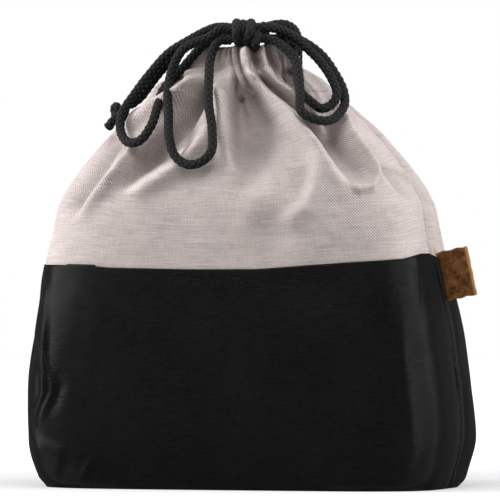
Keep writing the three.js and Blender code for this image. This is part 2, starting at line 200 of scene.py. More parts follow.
def smooth_line(route, spacing=RING_SPACING):
    """Evenly spaced points on a centripetal spline through a route given in millimetres."""
    knots = np.array(route, dtype=float) * MM
    ends = [2 * knots[0] - knots[1], 2 * knots[-1] - knots[-2]]
    padded = np.vstack([ends[0], knots, ends[1]])
    parts = []
    share = np.linspace(0, 1, STEPS_BETWEEN_POINTS, endpoint=False)[:, None]
    for p0, p1, p2, p3 in zip(padded, padded[1:], padded[2:], padded[3:]):
        t1 = np.linalg.norm(p1 - p0) ** 0.5
        t2 = t1 + np.linalg.norm(p2 - p1) ** 0.5
        t3 = t2 + np.linalg.norm(p3 - p2) ** 0.5
        t = t1 + (t2 - t1) * share
        a1 = (t1 - t) / t1 * p0 + t / t1 * p1
        a2 = (t2 - t) / (t2 - t1) * p1 + (t - t1) / (t2 - t1) * p2
        a3 = (t3 - t) / (t3 - t2) * p2 + (t - t2) / (t3 - t2) * p3
        b1 = (t2 - t) / t2 * a1 + t / t2 * a2
        b2 = (t3 - t) / (t3 - t1) * a2 + (t - t1) / (t3 - t1) * a3
        parts.append((t2 - t) / (t2 - t1) * b1 + (t - t1) / (t2 - t1) * b2)
    fine = np.vstack([*parts, knots[-1:]])
    run = run_along(fine)
    places = np.linspace(0, run[-1], int(run[-1] / spacing) + 1)
    return np.stack([np.interp(places, run, fine[:, axis]) for axis in range(3)], axis=1)


def braid_height(around, along):
    """How far a round braid stands out, 0 to 1, for a turn in cells and a length in cells."""
    right, left = around + along, around - along
    over = (np.floor(right) + np.floor(left)) % 2
    right, left = right % 1 - 0.5, left % 1 - 0.5
    across = np.where(over > 0.5, right, left)
    endways = np.where(over > 0.5, left, right)
    rounded = np.sqrt(np.clip(1 - (STRAND_ROUNDNESS * across) ** 2, 0, 1))
    return rounded * (1 - STRAND_DIP * endways ** 2)


def set_uv(mesh, u, v):
    """Gives a mesh its own UV map from one value of u and v for each corner of its grid."""
    layer = mesh.uv_layers.new(name="UVMap") if not mesh.uv_layers else mesh.uv_layers[0]
    corners = np.zeros(len(mesh.loops), dtype=np.int32)
    mesh.loops.foreach_get("vertex_index", corners)
    layer.data.foreach_set("uv", np.stack([u[corners], v[corners]], axis=1).ravel().astype(np.float32))


def set_point_value(mesh, name, values):
    mesh.attributes.new(name, "FLOAT", "POINT").data.foreach_set("value", values.astype(np.float32))


def set_places(mesh, points):
    mesh.vertices.foreach_set("co", points.astype(np.float32).ravel())


def vertex_places(mesh):
    flat = np.zeros(len(mesh.vertices) * 3, dtype=np.float32)
    mesh.vertices.foreach_get("co", flat)
    return flat.reshape(-1, 3).astype(float)


def grid_mesh(name, columns, rows):
    """A flat grid, and each vertex's share across and up it."""
    shape = bmesh.new()
    bmesh.ops.create_grid(shape, x_segments=columns, y_segments=rows, size=0.5)
    mesh = bpy.data.meshes.new(name)
    shape.to_mesh(mesh)
    shape.free()
    flat = vertex_places(mesh)
    return mesh, np.clip(flat[:, 0] + 0.5, 0, 1), np.clip(flat[:, 1] + 0.5, 0, 1)


def stand(mesh, material):
    """Makes an object of a mesh, with smooth faces."""
    mesh.polygons.foreach_set("use_smooth", np.ones(len(mesh.polygons), dtype=bool))
    mesh.update()
    piece = bpy.data.objects.new(mesh.name, mesh)
    bpy.context.collection.objects.link(piece)
    mesh.materials.append(material)
    return piece


def turning_frames(line):
    """Two directions square to a line at each of its points, without twist."""
    tangents = np.gradient(line, axis=0)
    tangents /= np.linalg.norm(tangents, axis=1)[:, None]
    helper = np.array([0, 0, 1]) if abs(tangents[0][2]) < 0.9 else np.array([1, 0, 0])
    side = np.cross(tangents[0], helper)
    sides = []
    for tangent in tangents:
        side = unit(side - tangent * side.dot(tangent))
        sides.append(side)
    sides = np.array(sides)
    return sides, np.cross(tangents, sides)


def braid_tube(name, line, material, thickness=CORD_THICKNESS, taper=None):
    """A braided tube round a line, rounded off at both ends."""
    rings = len(line) - 1
    mesh, share, turn = grid_mesh(name, rings, CORD_SIDES)
    place = np.rint(share * rings).astype(int)
    side_number = np.rint(turn * CORD_SIDES) % CORD_SIDES
    angle = 2 * math.pi * side_number / CORD_SIDES
    run = run_along(line)
    sides, ups = turning_frames(line)
    relief = braid_height(side_number * BRAID_CELLS / CORD_SIDES, run[place] / BRAID_PITCH)
    radius = PLUMP * thickness / 2 - BRAID_RELIEF * (1 - relief) * thickness / CORD_THICKNESS
    if taper is not None:
        radius = radius * taper(run / run[-1])[place]
    to_end = np.minimum(run, run[-1] - run)[place] / (thickness * ROUNDED_END_SHARE)
    radius = radius * np.sqrt(np.clip(1 - (1 - np.clip(to_end, 0, 1)) ** 2, 0.0004, 1))
    points = line[place]
    points = points + radius[:, None] * (
        np.cos(angle)[:, None] * sides[place] + np.sin(angle)[:, None] * ups[place]
    )
    set_places(mesh, points)
    set_uv(mesh, run[place], turn * math.pi * thickness)
    # The braid's height is kept for the painted shade in the gaps of the cord's colour.
    set_point_value(mesh, "braid", relief)
    shape = bmesh.new()
    shape.from_mesh(mesh)
    bmesh.ops.remove_doubles(shape, verts=shape.verts, dist=TUBE_SEAM_GAP)
    bmesh.ops.holes_fill(shape, edges=shape.edges, sides=CORD_SIDES)
    bmesh.ops.recalc_face_normals(shape, faces=shape.faces)
    shape.to_mesh(mesh)
    shape.free()
    return stand(mesh, material)


cord_finish = Finish("braided_cord", Roughness=0.7, Specular_IOR_Level=0.1, Sheen_Weight=0.02)
cord_uv = cord_finish.own_uv()
fibres = cord_finish.streaks(cord_uv, 900, 3200, 3)
fluff = cord_finish.cloud(cord_finish.own_place(), 160, 2)
# Painted shade: the cord's colour darkens into the gaps between its strands, by the square of the braid's
# height, over the fibres' own random tone.
braid_height_for_painted_shade = cord_finish.own_value("braid")
cord_finish.feed(
    Base_Color=cord_finish.blend_colors(
        (fibres * 0.6 + fluff * 0.3 + 0.25) * braid_height_for_painted_shade * braid_height_for_painted_shade,
        (0.0018, 0.0018, 0.0020, 1), (0.034, 0.034, 0.036, 1)
    ),
    Normal=cord_finish.relief(fibres, 0.00025, 0.5),
)
cord_black = cord_finish.material

free_routes = {
    "left_outer_loop": [
      [-6.1, -19, 229.4], [-9, -19, 229.4], [-13, -19.1, 229.2], [-18.3, -19.5, 227.3],
      [-27, -19.8, 222.8], [-36.9, -20.3, 216.8], [-45.6, -23, 206.9], [-53.3, -27, 195.6],
      [-57.8, -31.8, 186.6], [-57.7, -35.4, 178.3], [-51.4, -42.3, 172], [-44.2, -44.9, 173],
      [-39.3, -43.2, 180], [-38.3, -34.5, 190.5], [-38.4, -27.5, 197], [-35.6, -23.5, 202.5],
      [-31.8, -21.8, 206.5], [-25, -20.4, 214.5], [-18.3, -20, 221.4], [-13, -19.2, 223.6],
      [-9, -19, 223.8], [-6.1, -19, 223.8],
    ],
    "left_inner_loop": [
      [-5.9, -24.4, 228.8], [-8.5, -24.6, 228.4], [-11, -25.2, 226.8], [-14.2, -25.8, 224.4],
      [-20.8, -26.4, 222], [-27.8, -27, 218], [-32.1, -28.5, 210], [-33.6, -31, 202.5],
      [-33.2, -35, 195], [-31.3, -39.5, 187], [-28.5, -47, 174], [-24.8, -50, 165.5],
      [-18, -51.5, 161], [-11, -51.2, 162], [-6, -49.6, 167.4], [-6.6, -46, 178.5],
      [-9.9, -41, 191], [-11.8, -34.5, 204], [-12.6, -30, 212.5], [-11.2, -27, 219.6],
      [-8.6, -24.9, 223], [-5.9, -24.4, 223.4],
    ],
    "right_outer_loop": [
      [9.4, -24.4, 223.4], [12.5, -24.5, 223.6], [17.4, -24.8, 223], [23.8, -25.4, 219.5],
      [30.4, -27, 213.5], [33.8, -31, 204], [35.9, -36.4, 195.5], [38, -41, 187.5],
      [43.9, -40.5, 183.5], [50.1, -35.5, 182.5], [53.2, -29.6, 185], [55, -23.2, 191],
      [53, -19, 198], [47.8, -16.5, 206.5], [41.1, -13.5, 214.5], [34.6, -12, 219.5],
      [28.6, -12, 223], [22.9, -12.8, 226.2], [17, -15.8, 229], [12.5, -18.6, 229.6],
      [9.7, -19, 229.6],
    ],
    "right_inner_loop": [
      [9.7, -19, 223.9], [12.5, -19, 223.8], [17, -19, 222.8], [23, -19.4, 219.3],
      [28.5, -20.8, 213], [31, -24.2, 204.5], [34, -29, 197], [40.4, -32.2, 192],
      [45.3, -31.8, 188.6], [49.7, -28.5, 190.5], [51.9, -26, 195.5], [47.9, -22.5, 204],
      [40.9, -19.4, 212.5], [34.3, -18, 218.5], [29, -17.8, 223], [22.9, -18.8, 226.6],
      [17.2, -21.8, 228.8], [12.5, -24.2, 229.1], [9.4, -24.4, 229.1],
    ],
    "left_tail": [
      [-6.1, -13.5, 228.8], [-9, -13.5, 229], [-13, -13.6, 228.8], [-20, -14, 226.2],
      [-28.2, -14.3, 221.8], [-35, -14.5, 216], [-42.4, -16, 208.2], [-47.8, -19, 200.4],
      [-51.4, -20.8, 195], [-54, -22.6, 192.4], [-57.6, -23.2, 190],
    ],
    "right_tail": [
      [9.6, -8, 229.4], [12, -7.4, 230.2], [15, -5.6, 230.9], [18, -2.4, 230.9],
      [20.6, 2.4, 229], [20.8, 8.4, 225.8], [18.8, 14.8, 224], [17.2, 22.6, 218.8],
      [16, 26.8, 211], [15.3, 31.8, 205], [15, 36.4, 199], [15, 40.6, 193.2],
      [15, 43.8, 188.6],
    ],
}
free_lines = {name: smooth_line(route) for name, route in free_routes.items()}
free_cords = {name: braid_tube(name + "_cord", line, cord_black) for name, line in free_lines.items()}

# Stopper knots and cut ends
# Each tail goes into a tight overhand knot of the same cord, and a short cut end hangs out of it,
# a little swollen where its braid opens.
STOPPERS = {
    "left": ([-62, -23.4, 187], [-66.8, -22.8, 181.4]),
    "right": ([15, 47.2, 184.4], [15, 51.2, 177.2]),
}
KNOT_TURN_RADIUS = 1.28
KNOT_TURN_LENGTH = 1.9
KNOT_STEPS = 70
STOPPER_CORD = 0.0042
ENTERING_SHARES = (-0.08, 0.2, 0.4, 0.6, 0.8)
CUT_END_START = 3.4
CUT_END_REACH = 10.8
CUT_END_POINTS = 5
CUT_END_SWELLING = 0.12
SWELLING_START = 0.55


def overhand_route(center, towards):
    """One trefoil turn about a line from the middle of the knot to where its cut end points."""
    middle = np.array(center, dtype=float)
    axis = unit(np.array(towards) - middle)
    side = unit(np.cross(axis, [0, 0, 1]))
    other = np.cross(axis, side)
    route = []
    for step in range(KNOT_STEPS + 1):
        turn = 2 * math.pi * step / KNOT_STEPS
        across = KNOT_TURN_RADIUS * (math.sin(turn) + 2 * math.sin(2 * turn))
        beside = KNOT_TURN_RADIUS * (math.cos(turn) - 2 * math.cos(2 * turn))
        along = -KNOT_TURN_LENGTH * math.sin(3 * turn)
        route.append(middle + across * side + beside * other + along * axis)
    return route


def entering_route(center, tail_end):
    """The last of the tail, which goes into the middle of its knot."""
    middle = np.array(center, dtype=float)
    end = np.array(tail_end, dtype=float)
    return [end + (middle - end) * share for share in ENTERING_SHARES]


def joined(piece, others):
    """The meshes of all the objects in the first one, which alone is kept."""
    shape = bmesh.new()
    for part in (piece, *others):
        shape.from_mesh(part.data)
    shape.to_mesh(piece.data)
    shape.free()
    for other in others:
        bpy.data.objects.remove(other)
    return piece


def cut_end_route(center, towards):
    """A straight stretch out of the knot."""
    middle = np.array(center, dtype=float)
    axis = unit(np.array(towards) - middle)
    return [middle + axis * reach for reach in np.linspace(CUT_END_START, CUT_END_REACH, CUT_END_POINTS)]


def frayed(share):
    """A cut end swells where its braid opens."""
    return 1 + CUT_END_SWELLING * np.clip((share - SWELLING_START) / (1 - SWELLING_START), 0, 1)


for side, (center, towards) in STOPPERS.items():
    knot_line = smooth_line(overhand_route(center, towards))
    turns = braid_tube(side + "_stopper_turns", knot_line, cord_black, STOPPER_CORD)
    entering_line = smooth_line(entering_route(center, free_routes[side + "_tail"][-1]))
    stopper = joined(turns, [braid_tube(side + "_entering_end", entering_line, cord_black)])
    end_line = smooth_line(cut_end_route(center, towards))
    cut_end = braid_tube(side + "_cut_cord_end", end_line, cord_black, CORD_THICKNESS, frayed)
    for piece, node in ((stopper, "_stopper_knot"), (cut_end, "_cut_end")):
        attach(piece, "bag")
        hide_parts(side + node)

for name, line in free_lines.items():
    piece = free_cords[name]
    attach(piece, "bag")
    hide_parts(name)

# Bow knot
# The cords pass through a tight lump, and five turns go round it: two cross over its front in a V,
# one lies between them and two go lower at the right. All of it is the same cord, pulled hard.
KNOT_MIDDLE = np.array([1.75, -16, 226.6])
WRAPS = [
    (-4.7, -3.4, 2.8, 12.2, 5.2, -0.2),
    (2.6, -0.8, 4.6, 12.0, 5.2, -0.3),
    (-1.2, -1.4, 3.0, 9.4, 4.9, -0.4),
    (6.8, 3.2, 3.4, 10.0, 3.8, -1.8),
    (6.4, 4.4, 3.6, 11.0, 3.8, -3.8),
]
PASSING_STRANDS = [
    (-19, 229.2), (-19, 223.8), (-24.2, 228.6), (-24.2, 223.6), (-13.5, 226), (-8.5, 227.5),
]
PASSING_ENDS = (-8, 12)
PASSING_POINTS = 5
WRAP_STEPS = 28
WRAP_CORD = 0.0048
KNOT_CORE_RADII = (0.0072, 0.0080, 0.0044)


def wrap_route(top, foot, front, depth, height, rise):
    """A turn of cord round the knot: where it is across at its top, its foot and its front."""
    route = []
    for step in range(WRAP_STEPS + 1):
        turn = 2 * math.pi * step / WRAP_STEPS
        down = (1 - math.cos(turn)) / 2
        x = top + (foot - top) * down + front * math.sin(turn)
        y = -depth * math.sin(turn)
        z = height * math.cos(turn) + rise
        route.append(KNOT_MIDDLE + np.array([x, y, z]))
    return route


wrap_lines = [smooth_line(wrap_route(*wrap)) for wrap in WRAPS]
for y, z in PASSING_STRANDS:
    wrap_lines.append(smooth_line([(x, y, z) for x in np.linspace(*PASSING_ENDS, PASSING_POINTS)]))
wraps = [braid_tube("bow_knot_turns", line, cord_black, WRAP_CORD) for line in wrap_lines]
core_shape = bmesh.new()
bmesh.ops.create_uvsphere(core_shape, u_segments=48, v_segments=32, radius=1)
bmesh.ops.scale(core_shape, verts=core_shape.verts, vec=KNOT_CORE_RADII)
bmesh.ops.translate(core_shape, verts=core_shape.verts, vec=Vector(KNOT_MIDDLE * MM))
core_mesh = bpy.data.meshes.new("core")
core_shape.to_mesh(core_mesh)
core_shape.free()
bow_knot = joined(wraps[0], [*wraps[1:], stand(core_mesh, cord_black)])
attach(bow_knot, "bag")
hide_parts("bow_knot")

# Drawcords
# Each comes down from the knot to the slit at its side of the bag, runs right round inside the
# tunnel, and goes back up to the knot. The run follows the wall, whose profile is read from here on.
SEAM_HEIGHT = 0.110
RIM_HEIGHT = 0.219
SEAM_SIZE = (0.1975, 0.105)
NECK_SIZE = (0.049, 0.042)
COATED_HEIGHTS = [0, 0.005, 0.026, 0.072, 0.110]
COATED_WIDTHS = [0.202, 0.208, 0.216, 0.210, 0.1975]
COATED_DEPTHS = [0.106, 0.109, 0.114, 0.113, 0.105]
COATED_SQUARENESS = [4, 4.4, 4.8, 4.7, 4.2]
CANVAS_HEIGHT_SHARES = [0.138, 0.294, 0.431, 0.532, 0.642, 0.752, 0.853, 0.89, 0.917, 1]
CANVAS_WIDTH_SHARES = [0.956, 0.909, 0.788, 0.68, 0.525, 0.337, 0.168, 0.067, 0.02, 0]
CANVAS_DEPTH_SHARES = [0.99, 0.952, 0.857, 0.746, 0.603, 0.413, 0.222, 0.1, 0.03, 0]
CANVAS_SQUARENESS = [3.9, 3.6, 3.4, 3, 2.7, 2.4, 2.2, 2.1, 2, 2]
LEAN_REACH = 0.0028
LEAN_SHARES = [0, 0, 0, 0.45, 1, 1, 1, 1, 1, 0.9, 0.7, 0.4, 0.2, 0.1, 0]
CLOTH_THICKNESS = 0.0012
PIECE_GAP = 0.0003
SLIT_LENGTH = 0.014
SLIT_FOOT_HALF_WIDTH = 0.007
SLIT_RIM_HALF_WIDTH = 0.010
profile_heights = np.array(
    COATED_HEIGHTS + [SEAM_HEIGHT + (RIM_HEIGHT - SEAM_HEIGHT) * s for s in CANVAS_HEIGHT_SHARES]
)
profile_half_widths = np.array(
    COATED_WIDTHS + [NECK_SIZE[0] + (SEAM_SIZE[0] - NECK_SIZE[0]) * s for s in CANVAS_WIDTH_SHARES]
) / 2
profile_half_depths = np.array(
    COATED_DEPTHS + [NECK_SIZE[1] + (SEAM_SIZE[1] - NECK_SIZE[1]) * s for s in CANVAS_DEPTH_SHARES]
) / 2
profile_squareness = np.array(COATED_SQUARENESS + CANVAS_SQUARENESS)
profile_middles = -LEAN_REACH * np.array(LEAN_SHARES)
span_ends = np.arange(len(profile_heights))
after, before = np.minimum(span_ends + 1, span_ends[-1]), np.maximum(span_ends - 1, 0)


def read_profile(values, height):
    """A smooth curve through a column of the bag's profile, read at many heights."""
    slopes = (values[after] - values[before]) / (profile_heights[after] - profile_heights[before])
    place = np.clip(height, 0, RIM_HEIGHT)
    lower = np.clip(np.searchsorted(profile_heights, place) - 1, 0, len(profile_heights) - 2)
    span = profile_heights[lower + 1] - profile_heights[lower]
    t = (place - profile_heights[lower]) / span
    rise = t * t * (3 - 2 * t)
    leave = t * (1 - t) ** 2 * span * slopes[lower]
    arrive = t * t * (t - 1) * span * slopes[lower + 1]
    return values[lower] + rise * (values[lower + 1] - values[lower]) + leave + arrive


def outline_points(angle, height, inset):
    """Points on the bag's wall. Angle 0 is at the right side seam and a quarter turn is the back."""
    power = 2 / read_profile(profile_squareness, height)
    across, along = np.cos(angle), np.sin(angle)
    x = np.sign(across) * (read_profile(profile_half_widths, height) - inset) * np.abs(across) ** power
    y = np.sign(along) * (read_profile(profile_half_depths, height) - inset) * np.abs(along) ** power
    return np.stack([read_profile(profile_middles, height) + x, y, height], axis=-1)


def angle_off_seam(height, distance):
    half_depth = read_profile(profile_half_depths, height)
    return np.arcsin((distance / half_depth) ** (read_profile(profile_squareness, height) / 2))


left_front_lead = [
  [-6, -13.5, 223], [-8.5, -13.4, 223], [-11.5, -12.6, 223], [-15.5, -10.8, 223],
  [-21, -8.2, 222.8], [-25.2, -5.4, 220], [-26.6, -3.8, 216], [-26, -3.4, 212.8],
  [-23.4, -4.6, 210.8],
]
left_back_lead = [
  [-23.4, 4.6, 210.8], [-26, 3.2, 212.8], [-26.4, 2.6, 216], [-24.6, 1.6, 220.4],
  [-19.5, -1.4, 224.2], [-13, -5.4, 226.2], [-9, -7.6, 226.4], [-6, -8, 226.4],
]
right_front_lead = [
  [9.5, -13.5, 223.2], [12, -13.2, 223.4], [14.8, -11.6, 223.6], [19, -8.6, 223.4],
  [22.4, -5, 221.8], [23.2, -3.6, 219], [21.8, -4.6, 216.6],
]
right_back_lead = [
  [21.8, 4.4, 216.6], [23, 3.2, 219.2], [21.4, 1.2, 222], [17.4, -2.8, 223.6],
  [13.4, -6.8, 223.6], [11.5, -7.9, 223.2], [9.5, -8, 223],
]
LOWER_RUN_HEIGHT = 0.2102
UPPER_RUN_HEIGHT = 0.2154
RUN_STEPS = 24


def run_route(side, height):
    """The turn inside the tunnel, from one edge of its slit right round to the other, in mm."""
    heights = np.full(RUN_STEPS + 1, height)
    start = angle_off_seam(heights, SLIT_FOOT_HALF_WIDTH)
    turned = start + (2 * math.pi - 2 * start) * np.linspace(0, 1, RUN_STEPS + 1)
    angle = -turned if side > 0 else math.pi + turned
    inset = CLOTH_THICKNESS + PIECE_GAP + CORD_THICKNESS / 2
    return (outline_points(angle, heights, inset) / MM).tolist()


DRAWCORDS = {
    "left_drawcord": [*left_front_lead, *run_route(-1, LOWER_RUN_HEIGHT), *left_back_lead],
    "right_drawcord": [*right_front_lead, *run_route(1, UPPER_RUN_HEIGHT), *right_back_lead],
}
for name, route in DRAWCORDS.items():
    piece = braid_tube(name + "_cord", smooth_line(route), cord_black)
    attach(piece, "bag")
    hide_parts(name)

# Canvas upper half
# Two panels of pale undyed-looking cotton twill, sewn to the coated cloth and at the sides. The
# drawcords gather them at the mouth into deep creases that fade out half way down. The top is
# turned in over the cords.
CANVAS_COLUMNS = 300
CANVAS_ROWS = 150
CURL_SHARE = 0.1
WALL_ROWS = round(CANVAS_ROWS * (1 - CURL_SHARE))
ROWS_CROWDING = 1.25
CURL_START = 0.2155
CURL_RADIUS = 0.0042
CURL_RISE = 0.0042
RIM_LIFT_START = 0.2
BACK_RIM_LIFT = 0.5
SLIT_OPENING = 0.004
SEAM_OVERLAP = 0.003
TUCKED_UNDER = 0.8 * PIECE_GAP
TUCK_FADE = 0.0012
STIFF_BELOW_SEAM = 0.002
STIFF_ABOVE_SEAM = 0.016
FULLNESS = 0.0022
BACK_FULLNESS = 0.25
SHOULDER_PUSH = 0.0045
SHOULDER_SPAN = (0.012, 0.030)
SHOULDER_LEVEL = 0.201
SHOULDER_SPREAD = 0.0095
BACK_SHOULDER = 0.6
OVER_CORDS = 0.2075
OVER_CORDS_FADE = 0.005
CORD_STOP = 0.0004
CORD_GIVE = 0.1
LEVEL_PUSH = 0.206
LEVEL_PUSH_FADE = 0.018
CANVAS_WAVES = [(0.00022, 0.024, 11), (0.00012, 0.008, 12)]
SIDE_GROOVE = 0.0026
SIDE_GROOVE_PUCKERS = [(0.0010, 0.011, 3)]
SIDE_GROOVE_WIDTH = 0.0015
SIDE_SWELL = 0.0009
SIDE_SWELL_PLACE = 0.0042
SIDE_SWELL_WIDTH = 0.0020
FACING_RANGE = (0.0, 0.22)
SUNK_DEPTH = 0.007
FOLD_GAIN = 2.3
# Each crease or ridge: how far it pushes the cloth (mm, before the gain), how wide it is to its
# left and right (mm), how pointed it is, and its places from the middle of the view (mm) with its
# strength there and, where it changes, its width.
FRONT_FOLDS = [
    ("shoulder crease", -1.8, 1.5, 1.6, 1.5, [
        (-23, 101, 0.6), (-25, 93, 1), (-30, 86, 1), (-36.5, 79.5, 1), (-42.5, 75.5, 0.7),
        (-51, 70.5, 0.4), (-57.5, 66, 0),
    ]),
    ("shoulder ridge", 2.6, 3.4, 2.2, 2, [
        (-20.5, 102, 0.5), (-22, 94, 1), (-26.5, 85, 1), (-32, 78, 1), (-41, 73, 1),
        (-50, 68.5, 1), (-59, 62.5, 0.8), (-68, 56, 0),
    ]),
    ("deep hollow", -4.4, 5.5, 5.0, 2, [
        (-21, 84, 0, 0.5), (-24, 78.5, 1.1, 0.6), (-29, 72, 1.2, 0.8), (-37.5, 60, 1, 1.1),
        (-44, 51.5, 0.85, 1.2), (-52.5, 44, 0.75, 1.1), (-61, 36, 0.4, 0.9), (-67, 30, 0, 0.8),
    ]),
    ("hollow lip", 1.8, 3.2, 4.5, 2, [
        (-20, 62, 0.3), (-25.5, 53, 1), (-33, 44, 1), (-44, 37, 0.9), (-54, 31, 0.7),
        (-62, 26, 0),
    ]),
    ("left crease", -2.5, 4.5, 3.4, 1.8, [
        (-62, 63, 0.3), (-67.5, 54.5, 0.9), (-77, 39.5, 1), (-86, 24, 0.8), (-91, 16, 0),
    ]),
    ("left ridge", 1.8, 1.6, 4.0, 2, [
        (-56, 55, 0.4), (-63, 44.5, 1), (-72.5, 32.5, 1), (-82.5, 22.5, 0.6), (-90, 15, 0),
    ]),
    ("edge ridge", 1.1, 1.2, 1.6, 2, [
        (-39, 89, 0.7), (-47.5, 79, 1), (-55, 71, 0.8), (-64, 64, 0),
    ]),
    ("edge crease", -1.2, 1.0, 1.4, 1.4, [
        (-36, 88.5, 0.7), (-43, 79, 1), (-50.5, 73, 0.7), (-57, 69, 0),
    ]),
    ("rim crease left", -1.0, 0.7, 0.9, 1.3, [
        (-15.5, 101.5, 1), (-14.5, 98.5, 0.8), (-14, 94, 0),
    ]),
    ("rim crease left two", -0.9, 0.7, 0.9, 1.3, [
        (-12, 101, 1), (-11.5, 98.5, 0.8), (-10.5, 95, 0),
    ]),
    ("grey facet", -1.2, 4.0, 3.0, 2, [
        (-13, 96, 0.4), (-12.5, 90, 1), (-11, 84, 0.6), (-10, 80, 0),
    ]),
    ("beige ridge", 2.2, 3.4, 2.0, 2, [
        (-16.5, 87, 0), (-14.5, 79, 1), (-13, 69, 1), (-11.5, 55, 0.9), (-9.5, 43, 0.6),
        (-7, 32, 0.2), (-5, 25, 0),
    ]),
    ("first crease", -1.6, 0.9, 1.1, 1.5, [
        (-9.5, 101.5, 0.8), (-9, 97.5, 1), (-8.2, 90, 1), (-7.2, 83, 0.6), (-6.5, 77, 0),
    ]),
    ("first ridge", 1.5, 1.2, 1.2, 2, [
        (-7.5, 101.5, 1), (-6.5, 92.5, 1), (-5, 82.5, 1), (-3.5, 75, 0.5), (-2.5, 71, 0),
    ]),
    ("second crease", -1.8, 0.9, 1.2, 1.5, [
        (-5.7, 101.5, 0.7), (-5, 92, 0.9), (-3, 85.5, 0.8), (1, 77.5, 0),
    ]),
    ("middle hollow", -4.4, 2.6, 6.5, 2, [
        (-8.5, 86, 0.2, 0.6), (-8, 80, 1, 0.8), (-7.5, 70, 1, 1), (-6.5, 58, 0.7, 1.3),
        (-6, 46, 0.35, 1.6), (-5, 36, 0.12, 1.9), (-4, 26, 0, 2.1),
    ]),
    ("middle valley", -3.8, 8.5, 9.0, 2, [
        (1, 88, 0, 0.5), (2, 78, 0.9, 0.8), (5, 66, 1, 1), (7, 56, 0.75, 1.1), (7, 46, 0.42, 1.2),
        (7, 36, 0.15, 1.3), (7, 27, 0, 1.3),
    ]),
    ("tongue", 0.9, 14, 14, 2, [
        (-3, 30, 0.3, 0.9), (4, 25, 1), (11, 22, 1), (18, 24, 0.5), (26, 30, 0),
    ]),
    ("tongue edge", 0.85, 4.0, 5.5, 2, [
        (32, 50, 0.3), (34, 41, 1), (33, 31, 1.1), (28.5, 21.5, 1.1), (20, 14.5, 0.8), (12, 12.5, 0.3),
        (2, 14, 0),
    ]),
    ("long ridge", 3.0, 4.0, 3.4, 2, [
        (-2.5, 101.5, 0.8, 0.6), (-1, 94, 1, 0.7), (3, 85, 1, 0.8), (11, 75.5, 1, 1),
        (21, 65.5, 1, 1), (33, 51.5, 0.8, 1.1), (44, 36, 0.4, 1.2), (50, 25, 0, 1.2),
    ]),
    ("long crease", -4.2, 1.2, 3.2, 1.4, [
        (1, 101.5, 0.8, 0.5), (2.8, 91.5, 1, 0.5), (5.5, 85.5, 1, 0.6), (13.8, 78, 1, 0.8),
        (23.5, 70, 1, 1), (35, 57.2, 0.85, 1.5), (45.5, 41.5, 0.45, 1.8), (52, 31, 0, 2),
    ]),
    ("second ridge", 2.0, 1.6, 1.6, 2, [
        (5, 101.5, 0.8), (5.8, 96, 1), (7.5, 89.5, 1), (13, 84, 1), (20, 79, 1),
        (26, 73.5, 0.7), (35, 65, 0.4), (42.5, 57.5, 0),
    ]),
    ("third crease", -1.8, 0.9, 1.3, 1.5, [
        (7.2, 102, 0.9), (9.5, 94.5, 1), (12.8, 89, 1), (17.5, 85.5, 1), (22, 82, 0.8),
        (28, 76.5, 0),
    ]),
    ("third ridge", 2.0, 1.1, 1.3, 2, [
        (9.5, 102, 1), (12.5, 94, 1), (15.5, 87.5, 0.7), (18, 84, 0),
    ]),
    ("fourth crease", -1.0, 0.8, 1.0, 1.5, [
        (11.8, 102, 0.9), (13.8, 97, 1), (15.8, 91.5, 1), (17.5, 87, 0.6), (20, 83, 0),
    ]),
    ("side shadow", -1.2, 1.3, 1.6, 1.6, [
        (15, 102, 0.8), (17, 96.5, 1), (18.5, 91, 1), (21, 85.5, 0.7), (25, 80, 0),
    ]),
    ("side ridge", 1.6, 1.5, 2.4, 2, [
        (20, 99, 1), (21.5, 91, 1), (24.5, 83.5, 0.8), (31, 76, 0.5), (38, 69, 0),
    ]),
    ("right hollow", -2.1, 4.5, 4.0, 2, [
        (36, 72, 0.3, 0.8), (41, 60, 1, 1), (47.5, 50, 1, 1.1), (54, 41, 0.6, 1.1), (58, 35, 0, 1.1),
    ]),
    ("right ridge", 2.0, 2.6, 1.8, 2, [
        (42, 74, 0.3), (48.5, 62, 1), (56, 52, 1), (62, 42, 0.9), (64, 36, 0.8), (61, 31, 0.7),
        (55, 30, 0.5), (47, 34, 0),
    ]),
    ("right crease", -1.5, 1.4, 2.2, 1.5, [
        (51, 59, 0.3), (60.5, 48.5, 0.8), (69, 38.5, 1), (76, 30, 1), (82, 23.5, 0),
    ]),
    ("right fine ridge", 1.0, 1.0, 1.8, 2, [
        (62, 46, 0.3), (71.5, 40, 1), (79.5, 34.5, 0.9), (87, 28, 0),
    ]),
    ("low dent", -0.9, 9, 9, 2, [
        (10, 21, 0.3), (12, 12, 1), (9, 3, 0.3),
    ]),
    ("left low dent", -0.9, 6, 6, 2, [
        (-94, 29, 0.3), (-92, 22, 1), (-88, 14, 0.2),
    ]),
]
RIM_PLACES = [-30, -16.5, -11, -9, -5, -3, -1, 1, 4, 8, 10, 15, 24, 30]
RIM_RISES = [0, -0.5, 0, 1, 1, -1, 0.5, -1.5, 0, 2, 3, -0.5, 0, 0]
SEAM_PLACES = [-103, -91.6, -91.4, -77.6, -77.4, -70, -31, 2, 29, 47, 77.5, 82, 86.5, 92, 92.3, 98]
SEAM_RISES = [1.0, 1.0, 1.5, 1.2, 0.4, -0.2, -0.9, -0.8, 1.2, 2.5, 4.4, 5.6, 6.8, 6.9, 7.6, 8.2]
SEAM_TURN = 0.01
SEAM_BEHIND_RISE = 0.0035
SEAM_BEHIND_SPAN = (0.08, 0.098)
BACK_FOLD_COUNT = 13
BACK_FOLD_SHIFT = 0.28
BACK_FOLD_LEAN = 0.03
BACK_FOLD_LENGTHS = (0.030, 0.078)
BACK_FOLD_DEPTHS = (1.6, 3.4)
BACK_FOLD_WIDTHS = (0.9, 1.9)
BACK_FOLD_SPREADING = 2.2
BACK_FOLD_POINT = 1.5
BACK_FOLD_FADE = 0.8
BACK_LIP_HEIGHT = 0.45
BACK_LIP_PLACE = 1.8
gathers = np.random.default_rng(7)
